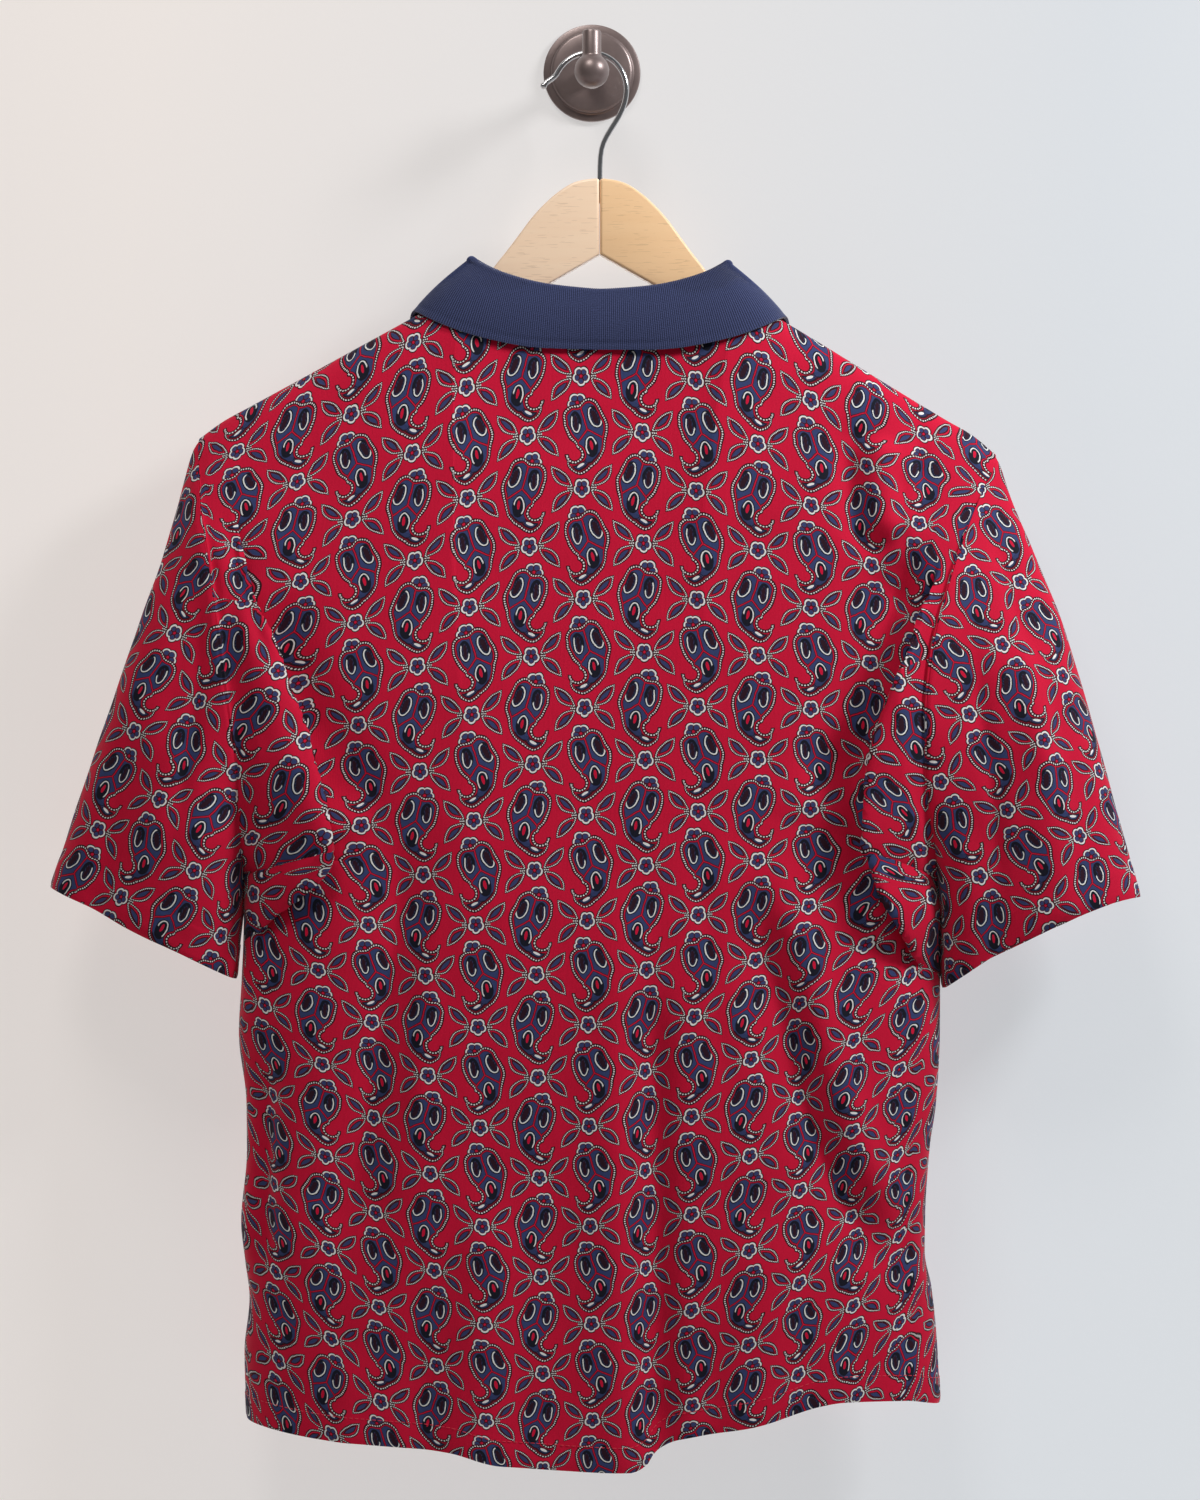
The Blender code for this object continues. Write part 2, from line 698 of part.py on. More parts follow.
def place(obj, collection, material_name):
    """Put an object in its collection with its material."""
    for other in obj.users_collection:
        other.objects.unlink(obj)
    collection.objects.link(obj)
    if material_name:
        obj.data.materials.clear()
        obj.data.materials.append(MATERIALS[material_name])
    return obj


def grid_object(name, points, closed, flipped, collection, material_name):
    """Mesh of quads over a grid of points, its columns joined in a ring if closed."""
    rows, columns = points.shape[:2]
    mesh = bmesh.new()
    verts = [[mesh.verts.new(points[i, j]) for j in range(columns)] for i in range(rows)]
    for i in range(rows - 1):
        for j in range(columns if closed else columns - 1):
            k = (j + 1) % columns
            quad = [verts[i][j], verts[i][k], verts[i + 1][k], verts[i + 1][j]]
            if flipped:
                quad.reverse()
            mesh.faces.new(quad)
    data = bpy.data.meshes.new(name)
    mesh.to_mesh(data)
    mesh.free()
    data.shade_smooth()
    return place(bpy.data.objects.new(name, data), collection, material_name)


def thicken(obj, thickness):
    """Give an open surface its wall, growing outwards."""
    solid = obj.modifiers.new("wall", "SOLIDIFY")
    solid.thickness = thickness
    solid.offset = 1.0
    return obj


def turned_object(name, profile, steps, collection, material_name):
    """Solid turned about its own Z axis from radius and height pairs, top to bottom."""
    mesh = bmesh.new()
    verts = [mesh.verts.new((radius, 0.0, height)) for radius, height in profile]
    for first, second in zip(verts, verts[1:]):
        mesh.edges.new((first, second))
    data = bpy.data.meshes.new(name)
    mesh.to_mesh(data)
    mesh.free()
    obj = place(bpy.data.objects.new(name, data), collection, material_name)
    screw = obj.modifiers.new("turn", "SCREW")
    screw.steps = steps
    screw.render_steps = steps
    screw.use_merge_vertices = True
    screw.merge_threshold = 0.00001
    screw.use_smooth_shade = True
    return obj


def cut(obj, cutter):
    """Take a cutter's volume out of an object."""
    boolean = obj.modifiers.new("cut " + cutter.name, "BOOLEAN")
    boolean.operation = "DIFFERENCE"
    boolean.solver = "EXACT"
    boolean.object = cutter


def as_cutter(obj, name):
    """Mark an object as a cutter."""
    obj.name = name
    obj.hide_render = True
    obj.display_type = "WIRE"
    return place(obj, CUTTERS, None)


# ---------------------------------------------------------------- cloth pieces

def panel_columns(grid):
    """Shares across a panel: close at the sides, with one on each neck point."""
    steps = np.arange(grid.shoulder) / grid.shoulder
    shoulder = NECK_SHARE * steps**COLUMN_CROWDING
    neck = np.linspace(NECK_SHARE, 1.0 - NECK_SHARE, grid.neck + 1)
    return np.concatenate((shoulder, neck, 1.0 - shoulder[::-1]))


def panel_rows(grid):
    """Shares down a panel: close under the shoulder seam, with one at the underarm."""
    upper = np.linspace(CREST_ROWS[-1], UNDERARM_SHARE, grid.armhole + 1)[1:]
    lower = np.linspace(UNDERARM_SHARE, 1.0, grid.below + 1)[1:]
    return np.concatenate((CREST_ROWS, upper, lower))


def make_panel(name, face):
    """Back or front of the shirt."""
    grid = PANEL_GRIDS[face]
    across, down = np.meshgrid(panel_columns(grid), panel_rows(grid))
    points = draped(face, across, down)
    return thicken(grid_object(name, points, False, face == BACK, PARTS, "printed jersey"), CLOTH)


def armhole_loop(side, angle):
    """Armhole seam as a ring: angle 0 is the shoulder tip, pi the underarm."""
    share = (1.0 - signed_power(np.cos(angle), 2.0 / SLEEVE_SQUARENESS)) / 2.0
    name = side_name(side)
    tip_z = SHOULDER[0].left_z if side == LEFT else SHOULDER[0].right_z
    underarm_z = UNDERARM_LEFT_Z if side == LEFT else UNDERARM_RIGHT_Z
    on_back = np.sin(angle) >= 0.0
    easing = SLEEVE_FRONT_EASE * smooth(share / 0.1)
    front_opening = easing + (1.0 - easing) * smooth((share - 0.45) / 0.50)
    opening = np.where(on_back, smooth((share - 0.65) / 0.33), front_opening)
    gap = SEAM_GAP + (UNDERARM_CLEARANCE - SEAM_GAP) * opening
    x = read(ARMHOLE, "share", name + "_x", share) + side * gap
    back_y = read(ARMHOLE, "share", "back_y", share)
    front_y = read(ARMHOLE, "share", "front_y", share)
    y = np.where(on_back, back_y, front_y)
    return np.stack((x, y, tip_z + share * (underarm_z - tip_z)), axis=-1)


def sleeve_ring(side, angle, along):
    """Flattened ring of a sleeve between its outer fold and its lower fold."""
    name = side_name(side)
    cuts = SLEEVE_CUTS[side]
    top_x = read(SLEEVE_TOP, "share", name + "_x", along)
    top_z = read(SLEEVE_TOP, "share", name + "_z", along)
    underarm = armhole_loop(side, np.array([math.pi]))[0]
    low_x = underarm[0] + along * (cuts.cuff_x - underarm[0])
    low_z = underarm[2] + along * (cuts.cuff_z - underarm[2])
    height = signed_power(np.cos(angle), 2.0 / SLEEVE_SQUARENESS)
    depth = signed_power(np.sin(angle), 2.0 / SLEEVE_SQUARENESS)
    rise = np.where(depth > 0.0, cuts.back_bow, cuts.front_bow) * depth**2 * along**3
    x = (top_x + low_x) / 2.0 + height * (top_x - low_x) / 2.0
    z = (top_z + low_z) / 2.0 + height * (top_z - low_z) / 2.0 + rise
    middle = read(SLEEVE_DEPTH, "share", "middle_y", along)
    half = read(SLEEVE_DEPTH, "share", "half_depth", along)
    return np.stack((x, middle - depth * half, z), axis=-1)


def sleeve_points(side, angle, along):
    """Points on the inner face of a sleeve, with its folds."""
    points = sleeve_ring(side, angle, along)
    at_seam = armhole_loop(side, angle) - sleeve_ring(side, angle, np.zeros_like(along))
    points = points + at_seam * (1.0 - smooth(along / SEAM_RELEASE))[..., None]
    height = np.zeros(along.shape)
    degrees = np.degrees(angle)
    for fold in SLEEVE_FOLDS[side]:
        share = (along - fold.start) / (fold.end - fold.start)
        centre = fold.start_angle + share * (fold.end_angle - fold.start_angle)
        ends = smooth(share / 0.3) * smooth((1.0 - share) / 0.1)
        height = height + fold.height * ends * np.exp(-(((degrees - centre) / fold.width) ** 2))
    return points + (-side) * outward(points) * height[..., None]


def make_sleeve(name, side):
    """Set-in short sleeve."""
    around = np.linspace(0.0, 2.0 * math.pi, SLEEVE_SIDES, endpoint=False)
    along = np.linspace(0.0, 1.0, SLEEVE_RINGS + 1) ** 1.25
    angle, share = np.meshgrid(around, along)
    points = sleeve_points(side, angle, share)
    return thicken(grid_object(name, points, True, side == LEFT, PARTS, "printed jersey"), CLOTH)


def collar_points():
    """Points on the shown face of the collar: stand inside, over the fold, fall outside."""
    shares = np.linspace(-1.0, 1.0, COLLAR_SECTIONS + 1)
    lines = {}
    for line in ("seam", "fold", "edge"):
        left = np.stack(collar_line(line, LEFT, np.abs(shares)), axis=-1)
        right = np.stack(collar_line(line, RIGHT, np.abs(shares)), axis=-1)
        lines[line] = np.where((shares < 0.0)[:, None], left, right)
    seam, fold, edge = lines["seam"], lines["fold"], lines["edge"]
    onwards = np.gradient(fold, axis=0)
    sideways = np.cross(onwards, (0.0, 0.0, 1.0))
    sideways = sideways / np.linalg.norm(sideways, axis=-1, keepdims=True)
    up = np.cross(sideways, onwards)
    up = up / np.linalg.norm(up, axis=-1, keepdims=True)
    rows = []
    stand_top = fold - COLLAR_ROLL * sideways - COLLAR_ROLL * up
    fall_top = fold + COLLAR_ROLL * sideways - COLLAR_ROLL * up
    for step in np.linspace(0.0, 1.0, COLLAR_STAND_STEPS + 1):
        rows.append(seam + (stand_top - seam) * step)
    for angle in (45.0, 90.0, 135.0):
        turn = math.radians(angle)
        rows.append(fold - COLLAR_ROLL * (math.cos(turn) * sideways + (1.0 - math.sin(turn)) * up))
    for step in np.linspace(0.0, 1.0, COLLAR_FALL_STEPS + 1):
        belly = COLLAR_BELLY * math.sin(math.pi * step)
        rows.append(fall_top + (edge - fall_top) * step + belly * sideways)
    return np.stack(rows, axis=0)


def make_collar():
    """Folded rib-knit collar."""
    points = collar_points()
    return thicken(grid_object("collar", points, False, False, PARTS, "navy rib"), RIB_CLOTH)


def across_row(row, x):
    """Point of a row of points at a given x."""
    return np.array([np.interp(x, row[:, 0], row[:, axis]) for axis in range(3)])


def placket_points():
    """Placket's inner face, from the front panel's own points moved out.

    Returns the points, left edge, middle column and right edge in each row,
    and the rows' shares down the panel.
    """
    grid = PANEL_GRIDS[FRONT]
    columns, rows = panel_columns(grid), panel_rows(grid)
    points = draped(FRONT, *np.meshgrid(columns, rows))
    points = points + outward(points) * (CLOTH + SEAM_GAP)
    covered = (rows >= PLACKET_TOP) & (rows <= PLACKET_BOTTOM)
    half = PLACKET_WIDTH / 2.0
    strip = [
        (across_row(row, CENTRE_X - half), row[len(columns) // 2], across_row(row, CENTRE_X + half))
        for row in points[covered]
    ]
    return np.array(strip), rows[covered]


def make_placket():
    """Strip that covers the front opening."""
    points, _ = placket_points()
    thicken(grid_object("placket", points, False, False, PARTS, "printed jersey"), PLACKET_CLOTH)


def make_buttons():
    """Buttons down the placket."""
    edge = BUTTON_THICKNESS * 0.25
    profile = (
        (0.0, BUTTON_THICKNESS * 0.8),
        (BUTTON_RADIUS * 0.62, BUTTON_THICKNESS * 0.8),
        (BUTTON_RADIUS * 0.74, BUTTON_THICKNESS),
        (BUTTON_RADIUS * 0.90, BUTTON_THICKNESS),
        (BUTTON_RADIUS, BUTTON_THICKNESS - edge),
        (BUTTON_RADIUS, edge),
        (BUTTON_RADIUS * 0.90, 0.0),
        (0.0, 0.0),
    )
    points, rows = placket_points()
    for number, share in enumerate(BUTTON_SHARES, start=1):
        low = int(np.searchsorted(rows, share))
        between = (share - rows[low - 1]) / (rows[low] - rows[low - 1])
        strip = points[low - 1] + between * (points[low] - points[low - 1])
        slope = Vector(points[low, 1] - points[low - 1, 1])
        normal = Vector(strip[2] - strip[1]).cross(slope).normalized()
        button = turned_object(f"button_{number}", profile, 16, PARTS, "red button")
        button.location = Vector(across_row(strip, CENTRE_X)) + normal * (PLACKET_CLOTH + 2.0 * SEAM_GAP)
        button.rotation_mode = "QUATERNION"
        button.rotation_quaternion = Vector((0.0, 0.0, 1.0)).rotation_difference(normal)


# ---------------------------------------------------------------- hanger

def hanger_outline(side):
    """Outline of one half of the hanger, in x and z, a little past the middle."""
    tilt = RIGHT_TILT if side == RIGHT else 0.0
    points = [(CENTRE_X + side * row.out, row.z - tilt * max(row.out, 0.0)) for row in HANGER_CROWN]
    for share in ARM_STEPS:
        x, z = shoulder_seam(side, np.array([share]))
        points.append((float(x[0]), float(z[0]) - HANGER_BELOW_SEAM))
    end_x = CENTRE_X + side * HANGER_REACH
    ends = column(SHOULDER, side_name(side) + "_x")
    end_share = (end_x - ends[0]) / (ends[-1] - ends[0])
    top_z = float(shoulder_seam(side, np.array([end_share]))[1][0]) - HANGER_BELOW_SEAM
    low_z = HANGER_NOTCH_Z - HANGER_NOTCH_SLOPE * HANGER_REACH
    slope = math.atan(HANGER_NOTCH_SLOPE)
    radius = (top_z - low_z) / 2.0 * math.cos(slope)
    for step in range(END_STEPS + 1):
        turn = math.pi / 2.0 - slope - math.pi * step / END_STEPS
        points.append((
            end_x + side * radius * math.cos(turn) - side * radius * math.sin(slope),
            (top_z + low_z) / 2.0 + radius * math.sin(turn),
        ))
    points.append((CENTRE_X, HANGER_NOTCH_Z))
    points.append((CENTRE_X - side * HANGER_PAST_MIDDLE, HANGER_NOTCH_Z))
    return points


def make_hanger(name, side):
    """One mitred wooden half of the hanger."""
    mesh = bmesh.new()
    back_y = HANG_Y - HANGER_THICKNESS / 2.0
    outline = [mesh.verts.new((x, back_y, z)) for x, z in hanger_outline(side)]
    face = mesh.faces.new(outline)
    grown = bmesh.ops.extrude_face_region(mesh, geom=[face])
    moved = [item for item in grown["geom"] if isinstance(item, bmesh.types.BMVert)]
    bmesh.ops.translate(mesh, verts=moved, vec=(0.0, HANGER_THICKNESS, 0.0))
    bmesh.ops.recalc_face_normals(mesh, faces=mesh.faces)
    data = bpy.data.meshes.new(name)
    mesh.to_mesh(data)
    mesh.free()
    half = place(bpy.data.objects.new(name, data), PARTS, "pale wood")
    rounding = half.modifiers.new("rounding", "BEVEL")
    rounding.width = HANGER_EDGE
    rounding.segments = 2
    rounding.limit_method = "ANGLE"
    rounding.angle_limit = math.radians(60.0)

    bpy.ops.mesh.primitive_cube_add(size=MITRE_BLOCK)
    mitre = as_cutter(bpy.context.active_object, name + "_mitre")
    mitre.location = (CENTRE_X - side * (MITRE_BLOCK - SEAM_GAP) / 2.0, HANG_Y, HANGER_NOTCH_Z)
    cut(half, mitre)
    cut(half, SOCKET)


def make_socket():
    """Cutter for the hole that takes the wire's foot."""
    crown_z = HANGER_CROWN[1].z
    depth = WIRE_FOOT_DEPTH + SOCKET_CLEARANCE
    radius = WIRE_RADIUS + SOCKET_CLEARANCE
    bpy.ops.mesh.primitive_cylinder_add(vertices=SOCKET_SIDES, radius=radius, depth=2.0 * depth)
    socket = as_cutter(bpy.context.active_object, "wire_socket")
    socket.location = (CENTRE_X, HANG_Y, crown_z)
    return socket


def wire_route():
    """Centre line of the hook, from its free tip to its foot."""
    points = [(point.x, point.z) for point in WIRE_TIP]
    for step in range(BEND_STEPS):
        turn = math.radians(BEND_START - step * BEND_STEP)
        points.append((
            WIRE_BEND_X + WIRE_BEND * math.cos(turn),
            WIRE_BEND_Z + WIRE_BEND * math.sin(turn),
        ))
    points += [(point.x, point.z) for point in WIRE_STEM]
    points.append((CENTRE_X, HANGER_CROWN[1].z - WIRE_FOOT_DEPTH))
    return points


def make_hook_wire():
    """Bent wire hook of the hanger."""
    data = bpy.data.curves.new("hanger_hook", "CURVE")
    data.dimensions = "3D"
    data.bevel_depth = WIRE_RADIUS
    data.bevel_resolution = WIRE_SIDES_RESOLUTION
    data.use_fill_caps = True
    route = wire_route()
    spline = data.splines.new("POLY")
    spline.points.add(len(route) - 1)
    for point, (x, z) in zip(spline.points, route):
        point.co = (x, HANG_Y, z, 1.0)
    return place(bpy.data.objects.new("hanger_hook", data), PARTS, "chrome wire")


# ---------------------------------------------------------------- wall hook

def make_wall_plate():
    """Round stepped plate that screws to the wall."""
    profile = (
        (0.0, PLATE_HEIGHT),
        (0.010, PLATE_HEIGHT),
        (PLATE_STEP_RADIUS - 0.0015, PLATE_HEIGHT - 0.0008),
        (PLATE_STEP_RADIUS, PLATE_HEIGHT - 0.0020),
        (PLATE_STEP_RADIUS + 0.0004, PLATE_RIM + 0.0008),
        (PLATE_RADIUS - 0.0012, PLATE_RIM + 0.0003),
        (PLATE_RADIUS, PLATE_RIM - 0.0008),
        (PLATE_RADIUS, 0.0),
        (0.0, 0.0),
    )
    plate = turned_object("wall_plate", profile, 32, PARTS, "dark bronze")
    plate.rotation_euler = (math.pi / 2.0, 0.0, 0.0)


def make_wall_knob():
    """Ball at the end of the hook, with its upright peg."""
    join = math.asin(PEG_RADIUS / BALL_RADIUS)
    profile = [
        (0.0, PEG_TOP),
        (PEG_RADIUS - 0.0015, PEG_TOP),
        (PEG_RADIUS - 0.0004, PEG_TOP - 0.0006),
        (PEG_RADIUS, PEG_TOP - 0.0018),
    ]
    for step in range(BALL_STEPS + 1):
        turn = join + (math.pi - join) * step / BALL_STEPS
        radius = BALL_RADIUS * math.sin(turn) if step < BALL_STEPS else 0.0
        profile.append((radius, BALL_Z + BALL_RADIUS * math.cos(turn)))
    knob = turned_object("wall_knob", profile, 20, PARTS, "dark bronze")
    knob.location = (0.0, KNOB_Y, 0.0)


def make_wall_arm():
    """Round arm from the plate to the knob, hollowed to seat against the ball."""
    near = -PLATE_HEIGHT - SEAM_GAP
    far = KNOB_Y + PEG_RADIUS + SEAM_GAP
    bpy.ops.mesh.primitive_cylinder_add(vertices=24, radius=WALL_ARM_RADIUS, depth=near - far)
    arm = place(bpy.context.active_object, PARTS, "dark bronze")
    arm.name = "wall_arm"
    arm.rotation_euler = (math.pi / 2.0, 0.0, 0.0)
    arm.location = (0.0, (near + far) / 2.0, WALL_ARM_Z)
    arm.data.shade_smooth()
    arm.data.set_sharp_from_angle(angle=math.radians(40.0))
    bpy.ops.mesh.primitive_uv_sphere_add(segments=32, ring_count=20, radius=BALL_RADIUS + SEAM_GAP + 0.0002)
    seat = as_cutter(bpy.context.active_object, "ball_seat")
    seat.location = (0.0, KNOB_Y, BALL_Z)
    cut(arm, seat)


# ---------------------------------------------------------------- assembly

for old in list(bpy.data.objects):
    bpy.data.objects.remove(old, do_unlink=True)

PARTS = bpy.data.collections.new("polo_shirt_on_hanger")
CUTTERS = bpy.data.collections.new("cutters")
bpy.context.scene.collection.children.link(PARTS)
bpy.context.scene.collection.children.link(CUTTERS)
MATERIALS = {name: new_material(name) for name in COLOURS}
SOCKET = make_socket()

make_panel("shirt_back", BACK)
make_panel("shirt_front", FRONT)
make_sleeve("sleeve_left", LEFT)
make_sleeve("sleeve_right", RIGHT)
make_collar()
make_placket()
make_buttons()
make_hanger("hanger_left", LEFT)
make_hanger("hanger_right", RIGHT)
make_hook_wire()
make_wall_plate()
make_wall_arm()
make_wall_knob()
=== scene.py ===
"""Polo shirt on a wooden hanger and a round wall hook, dressed and lit as in its picture.

Metres, +Z up. The wall is the plane y = 0. The shirt's back faces -Y and its
front faces the wall. The print's sizes and the rows of folds are in millimetres.
"""

import logging
import math
from dataclasses import dataclass, field
from enum import IntEnum
from typing import Callable, NamedTuple, Optional, Sequence, Union

import bpy
import numpy as np
from bpy.types import Material, Mesh, Object
from mathutils import Matrix, Vector


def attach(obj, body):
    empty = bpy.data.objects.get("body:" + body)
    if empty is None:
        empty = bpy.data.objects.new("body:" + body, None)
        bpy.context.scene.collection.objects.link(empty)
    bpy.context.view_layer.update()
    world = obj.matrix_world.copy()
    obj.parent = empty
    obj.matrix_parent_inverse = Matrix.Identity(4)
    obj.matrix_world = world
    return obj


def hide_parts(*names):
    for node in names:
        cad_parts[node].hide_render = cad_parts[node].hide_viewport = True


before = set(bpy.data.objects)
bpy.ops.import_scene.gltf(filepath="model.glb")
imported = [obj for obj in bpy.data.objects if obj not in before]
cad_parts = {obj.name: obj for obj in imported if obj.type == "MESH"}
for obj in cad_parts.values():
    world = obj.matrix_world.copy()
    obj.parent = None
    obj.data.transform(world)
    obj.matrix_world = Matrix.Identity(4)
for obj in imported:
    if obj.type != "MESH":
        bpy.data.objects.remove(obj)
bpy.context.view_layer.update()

LOG = logging.getLogger("polo shirt")

Array = np.ndarray
Path = tuple[tuple[float, float], ...]
Colour = tuple[float, float, float, float]


class Side(IntEnum):
    """Side of the shirt, as the sign of x."""

    LEFT = -1
    RIGHT = 1

    @property
    def word(self) -> str:
        """Word for the side, as columns and pieces use it."""
        return "left" if self is Side.LEFT else "right"


class Face(IntEnum):
    """Panel of the body, as the sign of y."""

    BACK = -1
    FRONT = 1


# ---- shared sizes

CENTRE_X = 0.005
RIGHT_TILT = 0.03
HANG_Y = -0.042
SIDE_Y = -0.047
SEAM_GAP = 0.0003
CLOTH = 0.0016
RIB_CLOTH = 0.0018
PLACKET_CLOTH = 0.0022
LAP_ENDS = (0.16, 0.12)
CREASE_FADE = 0.3
HEM_ROUNDING = 0.0006
HEM_ROUNDING_REACH = 0.0015
HEM_STEP = 0.0012
STITCH_BELOW_HEM_TOP = 0.0006


# ---- shaping maths

def smooth(value: Array) -> Array:
    """Ease from 0 to 1, flat at both ends."""
    clipped = np.clip(value, 0.0, 1.0)
    return clipped * clipped * (3.0 - 2.0 * clipped)


def signed_power(value: Array, power: float) -> Array:
    """Power of a number that keeps its sign."""
    return np.sign(value) * np.abs(value) ** power


def bow(share: Array, power: float) -> Array:
    """Superellipse height over a width that runs from 0 to 1."""
    return np.clip(1.0 - np.abs(2.0 * share - 1.0) ** power, 0.0, 1.0) ** (1.0 / power)


def bell(distance: Array, width: float) -> Array:
    """Rounded bump that is 1 at distance 0."""
    return np.exp(-((distance / width) ** 2))


def ends(share: Array, first: float, last: float) -> Array:
    """Ease from 0 at both ends of a share, over the parts of it given."""
    return smooth(share / first) * smooth((1.0 - share) / last)


def unit(vectors: Array) -> Array:
    """Vectors made one long."""
    return vectors / np.linalg.norm(vectors, axis=-1, keepdims=True)


def gaps(points: Array) -> Array:
    """Distances between a grid's rows, or between a line's points."""
    return np.linalg.norm(np.diff(points, axis=0), axis=-1)


def walk(steps: Array) -> Array:
    """Distance walked, from 0."""
    return np.concatenate((np.zeros_like(steps[:1]), np.cumsum(steps, axis=0)))


def read_line(at: Array, keys: Array, values: Array) -> Array:
    """Points of a line at places along its keys."""
    return np.stack([np.interp(at, keys, values[:, axis]) for axis in range(3)], axis=-1)


def outward(points: Array) -> Array:
    """Unit normals of a grid whose rows run down and columns run across."""
    return unit(np.cross(np.gradient(points, axis=1), np.gradient(points, axis=0)))


def eased(grid: Array, count: int) -> Array:
    """Grid averaged over neighbouring columns, its first and last columns kept."""
    reach = count // 2
    padded = np.pad(grid, ((0, 0), (reach, reach), (0, 0)), mode="reflect", reflect_type="odd")
    return sum(padded[:, step:step + grid.shape[1]] for step in range(count)) / count


def evened(normals: Array, count: int) -> Array:
    """Unit vectors averaged over neighbouring columns."""
    return unit(eased(normals, count))


class Table:
    """Sizes in named columns, read as smooth curves along the first column."""

    def __init__(self, names: str, *rows: tuple[float, ...]) -> None:
        """Keep the columns.

        Args:
            names: column names, the key column first.
            rows: one tuple a row.
        """
        values = np.array(rows, dtype=float)
        self.key = values[:, 0]
        self.columns = {name: values[:, place] for place, name in enumerate(names.split())}

    def read(self, name: str, at: Array) -> Array:
        """Value of one column along the key, without overshoot.

        Args:
            name: the column.
            at: places along the key column.

        Returns:
            The values there.
        """
        knots, values = self.key, self.columns[name]
        steps = np.diff(knots)
        slopes = np.diff(values) / steps
        before, after = slopes[:-1], slopes[1:]
        same_way = before * after > 0.0
        total = np.where(same_way, before + after, 1.0)
        inner = np.where(same_way, 2.0 * before * after / total, 0.0)
        tangents = np.concatenate((slopes[:1], inner, slopes[-1:]))
        index = np.clip(np.searchsorted(knots, at) - 1, 0, len(steps) - 1)
        step = steps[index]
        t = np.clip((at - knots[index]) / step, 0.0, 1.0)
        return (
            values[index] * (2 * t**3 - 3 * t**2 + 1)
            + step * tangents[index] * (t**3 - 2 * t**2 + t)
            + values[index + 1] * (3 * t**2 - 2 * t**3)
            + step * tangents[index + 1] * (t**3 - t**2)
        )


class Fold(NamedTuple):
    """Soft ridge (height above 0) or trough, with the widths of its left and right slopes."""

    height: float
    left_width: float
    right_width: float
    path: Path


class Lap(NamedTuple):
    """Edge of a sleeve's fullness where it lies over the back."""

    rise: float
    dip: float
    reach: float
    slope: float
    over: float
    under: float
    path: Path


def path_of(*places: float) -> Path:
    """Path in metres, from the x and z of each place in millimetres."""
    return tuple((x / 1000.0, z / 1000.0) for x, z in zip(places[::2], places[1::2]))


def folds(*rows: tuple[float, ...]) -> tuple[Fold, ...]:
    """Folds from rows in millimetres: height, left and right widths, then the path."""
    return tuple(Fold(*(size / 1000.0 for size in row[:3]), path_of(*row[3:])) for row in rows)


def along_path(path: Path, x: Array, z: Array) -> tuple[Array, Array]:
    """Place of points against a path.

    Args:
        path: x and z of its corners.
        x, z: places of the points.

    Returns:
        Signed distance from the path, and share along it.
    """
    best = np.full(x.shape, np.inf)
    signed = np.zeros(x.shape)
    share = np.zeros(x.shape)
    lengths = [math.dist(a, b) for a, b in zip(path, path[1:])]
    walked = 0.0
    for (ax, az), (bx, bz), length in zip(path, path[1:], lengths):
        ux, uz = (bx - ax) / length, (bz - az) / length
        t = np.clip((x - ax) * ux + (z - az) * uz, 0.0, length)
        dx, dz = x - ax - t * ux, z - az - t * uz
        distance = np.hypot(dx, dz)
        side = np.where(ux * dz - uz * dx >= 0.0, 1.0, -1.0)
        nearer = distance < best
        signed = np.where(nearer, side * distance, signed)
        share = np.where(nearer, (walked + t) / sum(lengths), share)
        best = np.minimum(best, distance)
        walked += length
    return signed, share


def fold_height(folds: Sequence[Fold], x: Array, z: Array, fade: float = 0.22) -> Array:
    """Sum of the folds at each point.

    Args:
        folds: ridges and troughs.
        x, z: places of the points.
        fade: share of each fold over which its ends die away.

    Returns:
        Height above the cloth without folds.
    """
    height = np.zeros(x.shape)
    for fold in folds:
        signed, share = along_path(fold.path, x, z)
        width = np.where(signed >= 0.0, fold.left_width, fold.right_width)
        height = height + fold.height * ends(share, fade, fade) * bell(signed, width)
    return height


def lap_height(side: Side, lap: Lap, x: Array, z: Array) -> Array:
    """Step of the cloth at the edge of a lap.

    Args:
        side: side of the shirt that it is on.
        lap: its sizes.
        x, z: places of the points.

    Returns:
        Height above the cloth without the lap.
    """
    signed, share = along_path(lap.path, x, z)
    inside = signed * side
    over = lap.rise * bell(np.maximum(inside, 0.0), lap.reach)
    under = -lap.dip * bell(np.minimum(inside, 0.0), 0.5 * lap.reach)
    step = smooth(inside / lap.slope + 0.5)
    return ends(share, *LAP_ENDS) * (under + (over - under) * step) * (np.sign(x) == side)


def lap_slide(side: Side, lap: Lap, x: Array, z: Array) -> Array:
    """Sideways shift that lays the lap's edge over the cloth beside it.

    Args:
        side: side of the shirt that it is on.
        lap: its sizes.
        x, z: places of the points.

    Returns:
        Shift of each point.
    """
    signed, share = along_path(lap.path, x, z)

    def slope(dx: float, dz: float) -> Array:
        """How fast the distance from the path grows one way."""
        ahead = along_path(lap.path, x + dx, z + dz)[0]
        return np.clip((ahead - along_path(lap.path, x - dx, z - dz)[0]) / (2.0 * (dx + dz)), -1.0, 1.0)

    inside = signed * side
    over = -lap.over * bell(np.maximum(inside, 0.0), 0.6 * lap.reach)
    under = lap.under * bell(np.minimum(inside, 0.0), 0.5 * lap.reach)
    amount = side * (under + (over - under) * smooth(inside / lap.slope + 0.5))
    amount = amount * ends(share, *LAP_ENDS) * (np.sign(x) == side)
    return np.stack((amount * slope(0.0002, 0.0), np.zeros_like(x), amount * slope(0.0, 0.0002)), axis=-1)


def hem_heights(points: Array) -> Array:
    """Distance of each point above the lower edge, walked along the cloth."""
    return walk(gaps(points)[::-1])[::-1]


